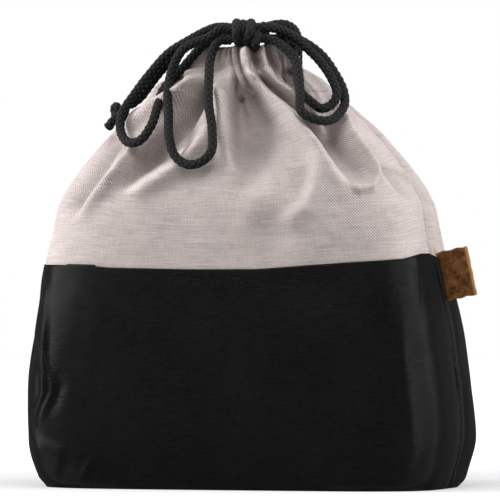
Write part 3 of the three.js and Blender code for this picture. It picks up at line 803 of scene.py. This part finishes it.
BACK_FOLDS = [
    (
        (number + 0.5 + gathers.uniform(-BACK_FOLD_SHIFT, BACK_FOLD_SHIFT)) / BACK_FOLD_COUNT,
        gathers.uniform(-BACK_FOLD_LEAN, BACK_FOLD_LEAN),
        gathers.uniform(*BACK_FOLD_LENGTHS),
        gathers.uniform(*BACK_FOLD_DEPTHS),
        gathers.uniform(*BACK_FOLD_WIDTHS),
    )
    for number in range(BACK_FOLD_COUNT)
]


def frame_places(points):
    """Where points are seen in the camera's frame, in millimetres from its middle."""
    rel = points - np.array(FRAME_MIDDLE)
    grow = VIEW_DISTANCE / (VIEW_DISTANCE - rel @ np.array(view_back)) / MM
    return rel @ np.array(view_right) * grow, rel @ np.array(view_up) * grow


def near_path(x, y, path):
    """Signed distance to a path, its strength and its widening at each place; right is positive."""
    best = np.full(x.shape, np.inf)
    side, strength, widen = (np.zeros(x.shape) for _ in range(3))
    for first, last in zip(path, path[1:]):
        dx, dy = last[0] - first[0], last[1] - first[1]
        length = math.hypot(dx, dy)
        share = np.clip(((x - first[0]) * dx + (y - first[1]) * dy) / length ** 2, 0, 1)
        gap_x, gap_y = x - first[0] - share * dx, y - first[1] - share * dy
        gap = np.hypot(gap_x, gap_y)
        closer = gap < best
        best = np.where(closer, gap, best)
        side = np.where(closer, np.sign(dx * gap_y - dy * gap_x) * gap, side)
        at = [f[2:] + (1,) if len(f) == 3 else f[2:] for f in (first, last)]
        strength = np.where(closer, at[0][0] + (at[1][0] - at[0][0]) * share, strength)
        widen = np.where(closer, at[0][1] + (at[1][1] - at[0][1]) * share, widen)
    return side, strength, widen


def front_push(folds, x, y):
    """How far the creases seen from the front push the cloth out, in metres."""
    total = np.zeros(x.shape)
    for _, push, left, right, shape, path in folds:
        side, strength, widen = near_path(x, y, path)
        width = np.where(side < 0, left, right) * widen
        total += push * strength * np.exp(-np.abs(side / width) ** shape)
    return total * MM * FOLD_GAIN


def gather_push(share, height, around):
    """The same for the gathers out of the camera's sight."""
    total = np.zeros(share.shape)
    for start, lean, length, depth, width in BACK_FOLDS:
        drop = np.clip((CURL_START + CURL_RISE - height) / length, 0, 1)
        middle = start + lean * drop
        side = (share - middle) * around / MM
        spread = width * (1 + BACK_FOLD_SPREADING * drop)
        fade = (1 - drop) ** BACK_FOLD_FADE
        total -= depth * fade * np.exp(-np.abs(side / spread) ** BACK_FOLD_POINT)
        lip = np.exp(-((side - BACK_LIP_PLACE * spread) / spread) ** 2)
        total += BACK_LIP_HEIGHT * depth * fade * lip
    return total * MM


RIPPLE_WAVES = 6
RIPPLE_LENGTHS = (0.7, 1.5)


def ripple(points, wavelength, seed):
    """Slow uneven waves over a surface, about -1 to 1."""
    waves = np.random.default_rng(seed)
    total = np.zeros(points.shape[:-1])
    for _ in range(RIPPLE_WAVES):
        direction = waves.normal(size=3)
        length = wavelength * waves.uniform(*RIPPLE_LENGTHS)
        direction *= 2 * math.pi / (length * np.linalg.norm(direction))
        total += np.sin(points @ direction + waves.uniform(0, 2 * math.pi))
    return total / (RIPPLE_WAVES / 2)


def ripples(points, rows):
    """The sum of such waves, each given by its height, its length and its seed."""
    return sum(height * ripple(points, length, seed) for height, length, seed in rows)


def outward(points):
    """Normals of a wall laid out in rows, pointing out."""
    along = np.gradient(points, axis=1)
    up = np.gradient(points, axis=0)
    normals = np.cross(along, up)
    return normals / np.maximum(np.linalg.norm(normals, axis=2), 1e-12)[..., None]


def ease(value, low, high):
    """0 below one value, 1 above another, and a soft step between."""
    share = np.clip((value - low) / (high - low), 0, 1)
    return share * share * (3 - 2 * share)


def wall_points(turn, share, height, inset, half_gap):
    """Points of a front (turn 1) or back (turn 0) wall, from one side seam to the other."""
    start = angle_off_seam(height, half_gap)
    angle = turn * math.pi + start + (math.pi - 2 * start) * share
    return outline_points(angle, height, inset)


def cloth_wall(name, columns, rows, thickness, material, place, *settings):
    """A cloth wall: a grid put in place row by row and given its thickness inwards."""
    mesh, across, up = grid_mesh(name, columns, rows)
    column, row = np.rint(across * columns).astype(int), np.rint(up * rows).astype(int)
    share, rise = np.meshgrid(np.linspace(0, 1, columns + 1), np.linspace(0, 1, rows + 1))
    points, flat = place(share, rise, *settings)
    set_places(mesh, points[row, column])
    run = np.cumsum(np.linalg.norm(np.diff(points, axis=1, prepend=points[:, :1]), axis=2), axis=1)
    run -= run[:, columns // 2, None]
    climb = np.cumsum(np.linalg.norm(np.diff(points, axis=0, prepend=points[:1]), axis=2), axis=0)
    set_uv(mesh, run[row, column], climb[row, column])
    # How far the cloth is sunk from its plain wall, kept for the painted shade in the canvas's creases.
    sunk = np.clip(((flat - points) * outward(flat)).sum(axis=2) / SUNK_DEPTH, 0, 1)[row, column]
    set_point_value(mesh, "sunk", sunk)
    piece = stand(mesh, material)
    wall = piece.modifiers.new("thickness", "SOLIDIFY")
    wall.thickness = thickness
    wall.offset = -1
    return piece


def seam_line(points):
    """How far the black edge stands above or below the seam's height, in metres."""
    x, _ = frame_places(points)
    facing = np.clip((SEAM_TURN - points[..., 1]) / (2 * SEAM_TURN), 0, 1)
    behind = SEAM_BEHIND_RISE * ease(points[..., 0], *SEAM_BEHIND_SPAN)
    return facing * np.interp(x, SEAM_PLACES, SEAM_RISES) * MM + (1 - facing) * behind


def seam_heights(turn, share):
    """The height of the black edge at each share of the way across a wall."""
    level = np.full(share.shape, SEAM_HEIGHT)
    points = wall_points(turn, share, level, level * 0, level * 0 + PIECE_GAP / 2)
    return SEAM_HEIGHT + seam_line(points)


def seen_share(turn, normals):
    """1 where the camera sees a wall, fading to 0 where the wall turns away from it."""
    return ease(normals @ np.array(view_back), *FACING_RANGE) * (1 if turn else 0)


def row_lengths(points):
    return np.linalg.norm(np.diff(points, axis=1), axis=2).sum(axis=1)[:, None]


def fold_push(turn, share, height, base, normals):
    """How far the gathered canvas stands off its plain wall, in metres."""
    x, y = frame_places(base)
    seen = seen_share(turn, normals)
    around = row_lengths(base)
    own_share = share if turn == 0 else 1 - share
    push = seen * front_push(FRONT_FOLDS, x, y) + (1 - seen) * gather_push(own_share, height, around)
    over_cords = ease(height, OVER_CORDS - OVER_CORDS_FADE, OVER_CORDS)
    push += FULLNESS * over_cords * (BACK_FULLNESS + (1 - BACK_FULLNESS) * seen)
    kept_off = np.maximum(push, -CORD_STOP) + CORD_GIVE * np.minimum(push + CORD_STOP, 0)
    push = push + (kept_off - push) * over_cords
    shoulder_rise = np.exp(-((height - SHOULDER_LEVEL) / SHOULDER_SPREAD) ** 2)
    left_shoulder = ease(-base[..., 0], *SHOULDER_SPAN) * shoulder_rise
    push += SHOULDER_PUSH * left_shoulder * (1 if turn else BACK_SHOULDER)
    edge = np.minimum(share, 1 - share) * around
    groove = SIDE_GROOVE + ripples(base, SIDE_GROOVE_PUCKERS)
    push -= groove * np.exp(-(edge / SIDE_GROOVE_WIDTH) ** 2)
    push += SIDE_SWELL * np.exp(-((edge - SIDE_SWELL_PLACE) / SIDE_SWELL_WIDTH) ** 2)
    push += ripples(base, CANVAS_WAVES)
    return push * ease(height, SEAM_HEIGHT - STIFF_BELOW_SEAM, SEAM_HEIGHT + STIFF_ABOVE_SEAM)


def canvas_place(share, rise, turn):
    """Puts a canvas wall in place: up from the seam, out in its folds and over the cords."""
    wall_rise = np.clip(rise / (1 - CURL_SHARE), 0, 1)
    curl = np.clip((rise - 1 + CURL_SHARE) / CURL_SHARE, 0, 1) * math.pi
    foot = seam_heights(turn, share) - SEAM_OVERLAP
    height = foot + (CURL_START - foot) * (1 - (1 - wall_rise) ** ROWS_CROWDING)
    slit_foot = RIM_HEIGHT - SLIT_LENGTH
    opened = ease(height, slit_foot, slit_foot + SLIT_OPENING)
    widened = ease(height, slit_foot, RIM_HEIGHT)
    slit = SLIT_FOOT_HALF_WIDTH + (SLIT_RIM_HALF_WIDTH - SLIT_FOOT_HALF_WIDTH) * widened
    half_gap = PIECE_GAP / 2 + (slit - PIECE_GAP / 2) * opened
    base = wall_points(turn, share, height, height * 0, half_gap)
    normals = outward(base)
    normals[WALL_ROWS:] = normals[WALL_ROWS - 1]
    normals[..., 2] *= 1 - ease(height, LEVEL_PUSH - LEVEL_PUSH_FADE, LEVEL_PUSH)
    normals /= np.linalg.norm(normals, axis=2)[..., None]
    push = fold_push(turn, share, height, base, normals)
    black_edge = foot + SEAM_OVERLAP
    push -= TUCKED_UNDER * (1 - ease(height, black_edge, black_edge + TUCK_FADE))
    points = base + normals * push[..., None]
    level = np.hypot(points[..., 0], points[..., 1])
    inward = CURL_RADIUS * (1 - np.cos(curl))
    points[..., :2] *= (1 - inward / np.maximum(level, MM))[..., None]
    x, _ = frame_places(base)
    lift = np.interp(x, RIM_PLACES, RIM_RISES) * MM if turn else push * BACK_RIM_LIFT
    lift = lift * ease(height, RIM_LIFT_START, CURL_START) * np.cos(curl / 2) ** 2
    points[..., 2] += CURL_RISE * np.sin(curl) + lift
    return points, base


TWILL_PITCH = 0.00135
TWILL_TURNS = 2 * math.pi / TWILL_PITCH
TWILL_SLOPE = 0.9
canvas_finish = Finish("canvas_twill", Roughness=0.92, Sheen_Weight=0.12, Sheen_Roughness=0.5)
canvas_uv = canvas_finish.own_uv()
across_cloth = canvas_finish.axis(canvas_uv, "X")
up_cloth = canvas_finish.axis(canvas_uv, "Y")
unevenness = canvas_finish.cloud(canvas_uv, 900, 2)
twill = ((across_cloth + up_cloth * TWILL_SLOPE) * TWILL_TURNS + unevenness * 2.4).math("SINE")
weft_slubs = canvas_finish.streaks(canvas_uv, 60, 1250, 3, 0.65)
warp_slubs = canvas_finish.streaks(canvas_uv, 1300, 160, 3, 0.65)
thread_height = twill * 0.36 + weft_slubs * 1.75 + warp_slubs * 0.9
nubs = canvas_finish.step(canvas_finish.spots(canvas_uv, 75), 0.03, 0.012)
mottle = canvas_finish.cloud(canvas_finish.own_place(), 55, 3)
flecks = canvas_finish.step(canvas_finish.spots(canvas_finish.own_place(), 22), 0.011, 0.007)
thread_tone = thread_height * 0.62 + mottle * 0.35 - 0.455
canvas_tone = canvas_finish.blend_colors(
    canvas_finish.step(thread_tone, -0.1, 0.9), (0.33, 0.272, 0.258, 1), (0.71, 0.622, 0.598, 1)
)
# Painted shade: the canvas is painted darker where it is sunk in its creases and hollows.
sunk = canvas_finish.own_value("sunk")
tone_with_painted_crease_shade = canvas_finish.blend_colors(sunk * 0.55, canvas_tone, (0.16, 0.13, 0.125, 1))
canvas_finish.feed(
    Base_Color=canvas_finish.blend_colors(flecks * 0.85, tone_with_painted_crease_shade, (0.03, 0.02, 0.018, 1)),
    Normal=canvas_finish.relief(thread_height + nubs * 0.9, 0.00024, 0.8),
)
canvas_panels = []
for turn, name in ((1, "canvas_front"), (0, "canvas_back")):
    panel = cloth_wall(
        name, CANVAS_COLUMNS, CANVAS_ROWS, CLOTH_THICKNESS, canvas_finish.material, canvas_place, turn
    )
    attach(panel, "bag")
    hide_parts(name + "_panel")
    canvas_panels.append(panel)

# Stitching round the tunnel
# One row of canvas-coloured thread sews the tunnel's foot down all round the bag. Each stitch is
# half sunk into the cloth.
STITCH_ROW_HEIGHT = 0.1976
STITCH_ROW_REACH = 0.0006
STITCH_SPACING = 0.003
STITCH_LENGTH = 0.0021
ROW_START = 0.002
ROW_END = 0.004
THREAD_RADIUS = 0.00022
THREAD_LIFT = 0.3
thread_finish = Finish("canvas_thread", Roughness=0.7)
twist = thread_finish.cloud(thread_finish.own_place(), 2600, 2)
thread_finish.feed(
    Base_Color=thread_finish.blend_colors(twist, (0.46, 0.40, 0.385, 1), (0.66, 0.59, 0.565, 1)),
    Normal=thread_finish.relief(twist, 0.0001, 0.5),
)


def add_stitch(shape, start, end, out):
    """One stitch: a small bead drawn out along the seam and half sunk into the cloth."""
    middle = (start + end) / 2
    along = Vector(end - start)
    length = along.length
    turned = along.to_track_quat("X", "Z").to_matrix().to_4x4()
    place = Matrix.Translation(Vector(middle + out * THREAD_RADIUS * THREAD_LIFT))
    size = Matrix.Diagonal((length / 2, THREAD_RADIUS, THREAD_RADIUS, 1))
    bmesh.ops.create_uvsphere(shape, u_segments=6, v_segments=6, radius=1, matrix=place @ turned @ size)


stitches = bmesh.new()
for panel in canvas_panels:
    places = vertex_places(panel.data)
    near = places[np.abs(places[:, 2] - STITCH_ROW_HEIGHT) < STITCH_ROW_REACH]
    order = np.argsort(np.arctan2(near[:, 1] * math.copysign(1, near[:, 1].mean()), near[:, 0]))
    row = near[order]
    run = run_along(row)
    for start in np.arange(ROW_START, run[-1] - ROW_END, STITCH_SPACING):
        ends = [
            np.array([np.interp(place, run, row[:, axis]) for axis in range(3)])
            for place in (start, start + STITCH_LENGTH)
        ]
        add_stitch(stitches, *ends, unit(np.array([ends[0][0], ends[0][1], 0])))
stitch_mesh = bpy.data.meshes.new("tunnel_stitches")
stitches.to_mesh(stitch_mesh)
stitches.free()
tunnel_stitches = stand(stitch_mesh, thread_finish.material)
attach(tunnel_stitches, "bag")

# Tunnel facings
# The turned-in top of the canvas: it is sewn down below the cords and stands off the outer layer
# by a cord's thickness.
FACING_COLUMNS = 120
FACING_ROWS = 24
FACING_TOP = CURL_START + 0.0004
TUNNEL_FOOT = 0.198
TUNNEL_FULL = 0.206
TUNNEL_ROOM = 0.0068
TUNNEL_FOOT_ROOM = 0.0006
FACING_PUCKERS = 46
FACING_PUCKER_DEPTH = 0.0005
FACING_PUCKER_FADE = 0.6
FACING_FOLD_FADE = 0.8


def facing_place(share, rise, turn):
    """Puts a facing in place: close to the canvas at its foot and a cord's width off it above."""
    height = TUNNEL_FOOT + (FACING_TOP - TUNNEL_FOOT) * rise
    opened = ease(height, TUNNEL_FOOT, TUNNEL_FULL)
    inset = CLOTH_THICKNESS + TUNNEL_FOOT_ROOM + (TUNNEL_ROOM - TUNNEL_FOOT_ROOM) * opened
    points = wall_points(turn, share, height, inset, height * 0 + PIECE_GAP / 2)
    normals = outward(points)
    pucker = FACING_PUCKER_DEPTH * np.sin(share * FACING_PUCKERS * math.pi)
    pucker *= 1 - opened * FACING_PUCKER_FADE
    push = np.minimum(fold_push(turn, share, height, points, normals), 0)
    push *= 1 - FACING_FOLD_FADE * opened
    shifted = points + normals * (push + np.minimum(pucker, 0))[..., None]
    return shifted, points


for turn, name in ((1, "tunnel_front"), (0, "tunnel_back")):
    facing = cloth_wall(
        name, FACING_COLUMNS, FACING_ROWS, CLOTH_THICKNESS, canvas_finish.material, facing_place, turn
    )
    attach(facing, "bag")
    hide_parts(name + "_facing")

# Coated lower half
# The same twill under a thin black coat, so that the weave only just shows. It is stiff enough to
# stand, with soft dents, creases at its edges and a slightly uneven upper edge.
COATED_COLUMNS = 260
COATED_ROWS = 150
COATING_THICKNESS = 0.0003
FOOT_CROWDING = 0.35
COATED_WAVES = [(0.0005, 0.07, 22), (0.00008, 0.012, 23)]
COATED_BACK_DENTS = [(0.0006, 0.022, 21)]
BACK_DENTS_FLATTENED = np.array([1, 1, 0.5])
COATED_GROOVE = 0.0008
COATED_GROOVE_WIDTH = 0.0011
FOOT_PUCKERS = [(0.0007, 0.019, 24)]
FOOT_PUCKER_HEIGHT = 0.007
STIFF_AT_EDGE = 0.25
EDGE_FADE = 0.010
FLOOR_FADE = (-0.001, 0.004)
COATED_CREASES = [
    ("left wrinkle", 1.4, 1.4, 1.7, 2, [
        (-103, -19, 0.3), (-102.5, -34, 0.7), (-103.2, -49, 1), (-102.8, -63, 1),
        (-102.7, -71.5, 0.8), (-106.5, -82, 0.8), (-108.8, -90, 0.3),
    ]),
    ("left wrinkle dip", -1.2, 1.4, 2.4, 2, [
        (-101, -25, 0), (-100.5, -40, 0.35), (-101.2, -51, 0.7), (-100, -61, 0.6),
        (-100, -71, 0.5), (-103, -80, 0),
    ]),
    ("left bend", 1.6, 1.4, 1.8, 2, [
        (-104.5, -50, 0), (-101.5, -58, 0.8), (-98.5, -66.5, 1), (-98.5, -71.5, 1),
        (-101.5, -78, 0.7), (-104, -85, 0.2),
    ]),
    ("left bend dip", -1.3, 1.8, 3.4, 2, [
        (-96.5, -60, 0), (-96, -69, 1), (-98, -76.5, 0.8), (-101, -83, 0),
    ]),
    ("left dent", -1.6, 4, 3, 2, [
        (-108.5, -41, 0), (-108, -49.5, 1), (-108, -55.5, 0.6), (-109.5, -63.5, 0),
    ]),
    ("right corner", 0.5, 4.2, 3.4, 2, [
        (76, -6, 0.6), (77.5, -17.5, 1), (78, -35, 0.9), (77.5, -50, 0.8), (80, -70, 0.8),
        (81.5, -90, 0.5), (83, -102.5, 0),
    ]),
    ("right corner line", 0.5, 0.8, 0.8, 2, [
        (82.8, -4.5, 1), (83.5, -15, 1), (84.2, -25, 0.5), (85.5, -40, 0),
    ]),
    ("right edge", 1.0, 1.2, 1.6, 2, [
        (103.5, -39, 0.2), (106.5, -50, 1), (108.5, -61, 1), (110, -72, 0.2),
    ]),
    ("right edge dip", -0.8, 1.6, 1.2, 2, [
        (101.5, -46, 0.2), (104.5, -57, 1), (106.5, -70, 0.2),
    ]),
    ("foot pucker", 1.1, 2.5, 2.5, 2, [
        (-77, -101, 0), (-81, -109, 1), (-85, -116, 0.5),
    ]),
    ("foot pucker two", -1.0, 2.0, 3.5, 2, [
        (-90, -95, 0), (-92, -105, 1), (-95, -115, 0.4),
    ]),
    ("foot roll", 0.8, 3.4, 3.4, 2, [
        (-110, -95, 0), (-104, -99, 1), (-95, -102, 1), (-84, -103, 0),
    ]),
    ("foot roll dip", -0.6, 3.0, 3.6, 2, [
        (-111, -88, 0), (-104, -92, 1), (-95, -95, 1), (-84, -96, 0),
    ]),
]


def coated_place(share, rise, turn):
    """Puts a coated wall in place: from the floor up to the seam, with its dents and creases."""
    top = seam_heights(turn, share)
    height = top * (FOOT_CROWDING * rise ** 2 + (1 - FOOT_CROWDING) * rise)
    base = wall_points(turn, share, height, height * 0, height * 0 + PIECE_GAP / 2)
    normals = outward(base)
    x, y = frame_places(base)
    seen = seen_share(turn, normals)
    push = seen * front_push(COATED_CREASES, x, y) / FOLD_GAIN
    push += (1 - seen) * ripples(base * BACK_DENTS_FLATTENED, COATED_BACK_DENTS)
    push += ripples(base, COATED_WAVES)
    edge = np.minimum(share, 1 - share) * row_lengths(base)
    push -= COATED_GROOVE * np.exp(-(edge / COATED_GROOVE_WIDTH) ** 2)
    push += ripples(base, FOOT_PUCKERS) * np.exp(-(height / FOOT_PUCKER_HEIGHT) ** 2)
    push *= ease(top - height, 0, EDGE_FADE) * (1 - STIFF_AT_EDGE) + STIFF_AT_EDGE
    push += COATING_THICKNESS
    push *= ease(height, *FLOOR_FADE)
    points = base + normals * push[..., None]
    points[..., 2] = np.maximum(points[..., 2], 0)
    return points, base


coated_finish = Finish("coated_twill", Specular_IOR_Level=0.065)
coated_uv = coated_finish.own_uv()
coated_across = coated_finish.axis(coated_uv, "X")
coated_up = coated_finish.axis(coated_uv, "Y")
coated_ribs = ((coated_across + coated_up * TWILL_SLOPE) * TWILL_TURNS).math("SINE")
coated_weft = coated_finish.streaks(coated_uv, 150, 900, 3, 0.65)
coated_warp = coated_finish.streaks(coated_uv, 1500, 160, 2, 0.6)
pebble = coated_finish.cloud(coated_uv, 420, 3)
smears = coated_finish.cloud(coated_finish.own_place(), 26, 3, 0.6)
specks = coated_finish.step(coated_finish.spots(coated_uv, 48), 0.022, 0.010)
facing_away = coated_finish.node("ShaderNodeLayerWeight", {}, {"Blend": 0.5}, "Facing")
coated_slant = coated_finish.step(facing_away, 0.34, 0.56)
coated_height = coated_ribs * 0.4 + coated_weft * 1.7 + coated_warp * 0.6 + pebble * 0.8 + specks * 1.0
coated_finish.feed(
    Base_Color=coated_finish.blend_colors(
        coated_finish.step(coated_weft * 0.6 + coated_warp * 0.3 + smears * 0.3, 0.44, 0.78),
        (0.0002, 0.0002, 0.0003, 1), (0.0056, 0.0056, 0.0060, 1)
    ),
    Roughness=coated_finish.step(smears, 0.3, 0.7, 0.20, 0.28) + coated_slant * 0.66,
    Normal=coated_finish.relief(coated_height, 0.00017, 0.85),
)
for turn, name in ((1, "coated_front"), (0, "coated_back")):
    panel = cloth_wall(
        name, COATED_COLUMNS, COATED_ROWS, CLOTH_THICKNESS, coated_finish.material, coated_place, turn
    )
    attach(panel, "bag")
    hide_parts(name + "_panel")

# Base
# A flat panel of the coated cloth, sewn in just above the foot of the walls.
BASE_COLUMNS = 112
BASE_ROWS = 14
BASE_HEIGHT = 0.0019
BASE_WAVES = [(0.0005, 0.05, 31)]
BASE_RIM_SHARE = 0.3
BASE_SEAM_GAP = 0.00001


def base_place(share, rise):
    """Puts the base in place: rings that close in from the rim to the middle."""
    angle = 2 * math.pi * share
    rim = outline_points(angle, 0 * angle, CLOTH_THICKNESS + PIECE_GAP)
    points = rim * (1 - rise)[..., None]
    points[..., 2] = BASE_HEIGHT + ripples(points, BASE_WAVES) * ease(rise, 0, BASE_RIM_SHARE)
    return points, points


base = cloth_wall("base", BASE_COLUMNS, BASE_ROWS, CLOTH_THICKNESS, coated_finish.material, base_place)
base_shape = bmesh.new()
base_shape.from_mesh(base.data)
bmesh.ops.remove_doubles(base_shape, verts=base_shape.verts, dist=BASE_SEAM_GAP)
bmesh.ops.recalc_face_normals(base_shape, faces=base_shape.faces)
base_shape.to_mesh(base.data)
base_shape.free()
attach(base, "bag")
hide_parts("base_panel")

# Seam tapes
# Woven tapes bind the raw seams inside: one round the base, one round the middle and one up each
# side. The side tapes lie deeper above the middle, behind the groove of the canvas's side seam.
TAPE_THICKNESS = 0.0008
TAPE_WIDTH = 0.012
TAPE_RIB_PITCH = 0.0011
BASE_TAPE_HEIGHTS = (0.0015, 0.0075)
MIDDLE_TAPE_HEIGHTS = (0.104, 0.116)
SIDE_TAPE_HEIGHTS = (0.008, 0.190)
SIDE_SEAM_DEPTH = 0.0044
SIDE_SEAM_FOOT = SEAM_HEIGHT - 0.004
tape_finish = Finish("seam_tape", Roughness=0.85)
tape_uv = tape_finish.own_uv()
tape_rib = (tape_finish.axis(tape_uv, "X") * (2 * math.pi / TAPE_RIB_PITCH)).math("SINE")
tape_threads = tape_finish.streaks(tape_uv, 2200, 500)
tape_finish.feed(
    Base_Color=tape_finish.blend_colors(tape_threads, (0.20, 0.175, 0.165, 1), (0.33, 0.295, 0.28, 1)),
    Normal=tape_finish.relief(tape_rib * 0.5 + tape_threads, 0.0002, 0.6),
)


def ring_tape_place(share, rise, foot, top):
    height = foot + (top - foot) * rise
    points = outline_points(2 * math.pi * share, height, CLOTH_THICKNESS + PIECE_GAP)
    return points, points


def side_tape_place(share, rise, side):
    height = SIDE_TAPE_HEIGHTS[0] + (SIDE_TAPE_HEIGHTS[1] - SIDE_TAPE_HEIGHTS[0]) * rise
    reach = TAPE_WIDTH * (share - 0.5)
    angle = angle_off_seam(height, np.abs(reach)) * np.sign(reach) + (0 if side > 0 else math.pi)
    deeper = SIDE_SEAM_DEPTH * ease(height, SIDE_SEAM_FOOT, SEAM_HEIGHT + STIFF_ABOVE_SEAM)
    inset = CLOTH_THICKNESS + 2 * PIECE_GAP + TAPE_THICKNESS + deeper
    points = outline_points(angle, height, inset)
    return points, points


TAPES = {
    "base_seam_tape": (COATED_COLUMNS // 2, 4, ring_tape_place, *BASE_TAPE_HEIGHTS),
    "middle_seam_tape": (COATED_COLUMNS // 2, 6, ring_tape_place, *MIDDLE_TAPE_HEIGHTS),
    "left_side_tape": (8, 90, side_tape_place, -1),
    "right_side_tape": (8, 90, side_tape_place, 1),
}
for name, (columns, rows, *placing) in TAPES.items():
    tape = cloth_wall(name + "_ribbon", columns, rows, TAPE_THICKNESS, tape_finish.material, *placing)
    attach(tape, "bag")
    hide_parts(name)

# Side tag
# A strip of brown suede-like leather folded double and caught in the right side seam just below
# the canvas. Its face is bare, and its cut edges are paler.
TAG_COLUMNS = 90
TAG_ROWS = 60
TAG_HEIGHT = 0.0245
TAG_REACH = 0.014
TAG_PLY = 0.0012
TAG_HALF = 0.00145
TAG_HINGE = np.array([0.098713, 0.006, 0.1055])
TAG_AXIS = np.array([-0.214694, 0, 0.976681])
TAG_OUT = np.array([0.976681, 0, 0.214694])
TAG_ROOT = 0.0017
TAG_ROOT_HALF = 0.0008
TAG_FLARE = 0.0008
TAG_EDGE_WAVES = (0.00025, 900)
TAG_REACH_WAVES = [(0.0002, 0.006, 41)]
TAG_BENDS = [(0.0003, 0.014, 42)]
BEND_STEPS = 8
bend_middle = TAG_REACH - TAG_HALF
strip_path = [(-TAG_ROOT, -TAG_ROOT_HALF), (TAG_FLARE, -TAG_HALF), (bend_middle, -TAG_HALF)]
for step in range(1, BEND_STEPS):
    bend = -math.pi / 2 + math.pi * step / BEND_STEPS
    strip_path.append((bend_middle + TAG_HALF * math.cos(bend), TAG_HALF * math.sin(bend)))
strip_path += [(bend_middle, TAG_HALF), (TAG_FLARE, TAG_HALF), (-TAG_ROOT, TAG_ROOT_HALF)]
strip_points = np.array(strip_path)
strip_run = run_along(strip_points)


def tag_place(share, rise):
    """Puts the strip in place: out from the seam, round its fold and back, a little uneven."""
    run = share * strip_run[-1]
    out = np.interp(run, strip_run, strip_points[:, 0])
    beside = np.interp(run, strip_run, strip_points[:, 1])
    level = (rise - 0.5) * TAG_HEIGHT
    flat = np.stack([out, level, beside], axis=2)
    level = level + TAG_EDGE_WAVES[0] * np.sin(out * TAG_EDGE_WAVES[1]) * np.abs(2 * rise - 1) ** 6
    out = out + ripples(flat, TAG_REACH_WAVES) * ease(out, 0.004, TAG_REACH)
    beside = beside + ripples(flat, TAG_BENDS) * ease(out, 0.002, TAG_REACH)
    points = TAG_HINGE + out[..., None] * TAG_OUT + level[..., None] * TAG_AXIS
    points[..., 1] += beside
    return points, points


tag_finish = Finish("brown_suede", Roughness=0.85, Sheen_Weight=0.04, Specular_IOR_Level=0.2)
tag_uv = tag_finish.own_uv()
nap = tag_finish.cloud(tag_uv, 900, 4, 0.7)
blotches = tag_finish.cloud(tag_uv, 210, 4, 0.65)
scuffs = tag_finish.step(blotches * 0.7 + nap * 0.3, 0.40, 0.62)
to_end = tag_finish.axis(tag_uv, "Y").math("SUBTRACT", TAG_HEIGHT / 2).math("ABSOLUTE")
cut_edge = tag_finish.step(to_end + nap * 0.0012, TAG_HEIGHT / 2 - 0.0003, TAG_HEIGHT / 2 + 0.0006)
to_fold = tag_finish.axis(tag_uv, "X").math("ABSOLUTE")
fold_edge = tag_finish.step(to_fold + nap * 0.0012, 0.0036, 0.0016)
leather = tag_finish.blend_colors(scuffs, (0.085, 0.030, 0.010, 1), (0.300, 0.128, 0.036, 1))
edge_share = cut_edge.math("MAXIMUM", fold_edge) * 0.7
tag_finish.feed(
    Base_Color=tag_finish.blend_colors(edge_share, leather, (0.42, 0.21, 0.075, 1)),
    Normal=tag_finish.relief(nap * 0.6 + blotches, 0.0003, 0.6),
)
side_tag = cloth_wall(
    "tag_leather_strip", TAG_COLUMNS, TAG_ROWS, TAG_PLY, tag_finish.material, tag_place
)
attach(side_tag, "tag")
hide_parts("side_tag")

# Floor and light
# A floor that the camera sees as white, with a painted soft shadow: less bright close to the bag.
# A tall light stands at each side, narrower at the right, and a broad one hangs above the front.
FLOOR_RADIUS = 3
PAINTED_SHADOW_MIDDLE = -0.08
PAINTED_SHADOW_RADII = (0.08, 0.45)
GLOW_IN_PAINTED_SHADOW = 0.42
SKY_LIGHT = 0.10
floor_shape = bmesh.new()
bmesh.ops.create_circle(floor_shape, cap_ends=True, segments=96, radius=FLOOR_RADIUS)
floor_mesh = bpy.data.meshes.new("floor")
floor_shape.to_mesh(floor_mesh)
floor_shape.free()
floor_finish = Finish("floor", Base_Color=(0.35, 0.35, 0.35, 1), Roughness=0.9)
painted_shadow_places = {0: floor_finish.own_place(), 1: tuple(view_back * PAINTED_SHADOW_MIDDLE)}
off_middle = floor_finish.node("ShaderNodeVectorMath", {"operation": "SUBTRACT"}, painted_shadow_places, "Vector")
from_middle = floor_finish.node("ShaderNodeVectorMath", {"operation": "LENGTH"}, {0: off_middle}, "Value")
# Painted shadow: the floor glows least close to the bag, beside the real shadow that its diffuse part
# keeps.
glow_with_painted_shadow = floor_finish.step(from_middle, *PAINTED_SHADOW_RADII, GLOW_IN_PAINTED_SHADOW, 1.0)
floor_finish.feed(Emission_Color=(1, 1, 1, 1), Emission_Strength=glow_with_painted_shadow * floor_finish.seen_ray())
floor = stand(floor_mesh, floor_finish.material)

sky = Finish("studio", bpy.data.worlds, "Background", Color=(1, 1, 1, 1))
sky.feed(Strength=sky.step(sky.seen_ray(), 0, 1, SKY_LIGHT, 1))
bpy.context.scene.world = sky.material

# Each light: its place to the right of the bag, towards the camera and up (m), its width and
# length (m), and its power (W).
LIGHTS = {
    "left": ((-1.25, 0.02, 0.56), 0.40, 1.1, 20),
    "right": ((1.13, 0.30, 0.44), 0.075, 1.0, 11.5),
    "top": ((-0.05, 0.55, 1.22), 0.8, 0.6, 9.5),
}
LIGHT_AIM = Vector((0, 0, 0.1))
for name, ((across, nearer, above), width, length, power) in LIGHTS.items():
    place = view_right * across + view_back * nearer + Vector((0, 0, above))
    lamp = bpy.data.lights.new(name, "AREA")
    lamp.shape = "RECTANGLE"
    lamp.size, lamp.size_y = width, length
    lamp.energy = power
    light = bpy.data.objects.new(name, lamp)
    light.location = place
    light.rotation_euler = (LIGHT_AIM - place).to_track_quat("-Z", "Y").to_euler()
    bpy.context.collection.objects.link(light)
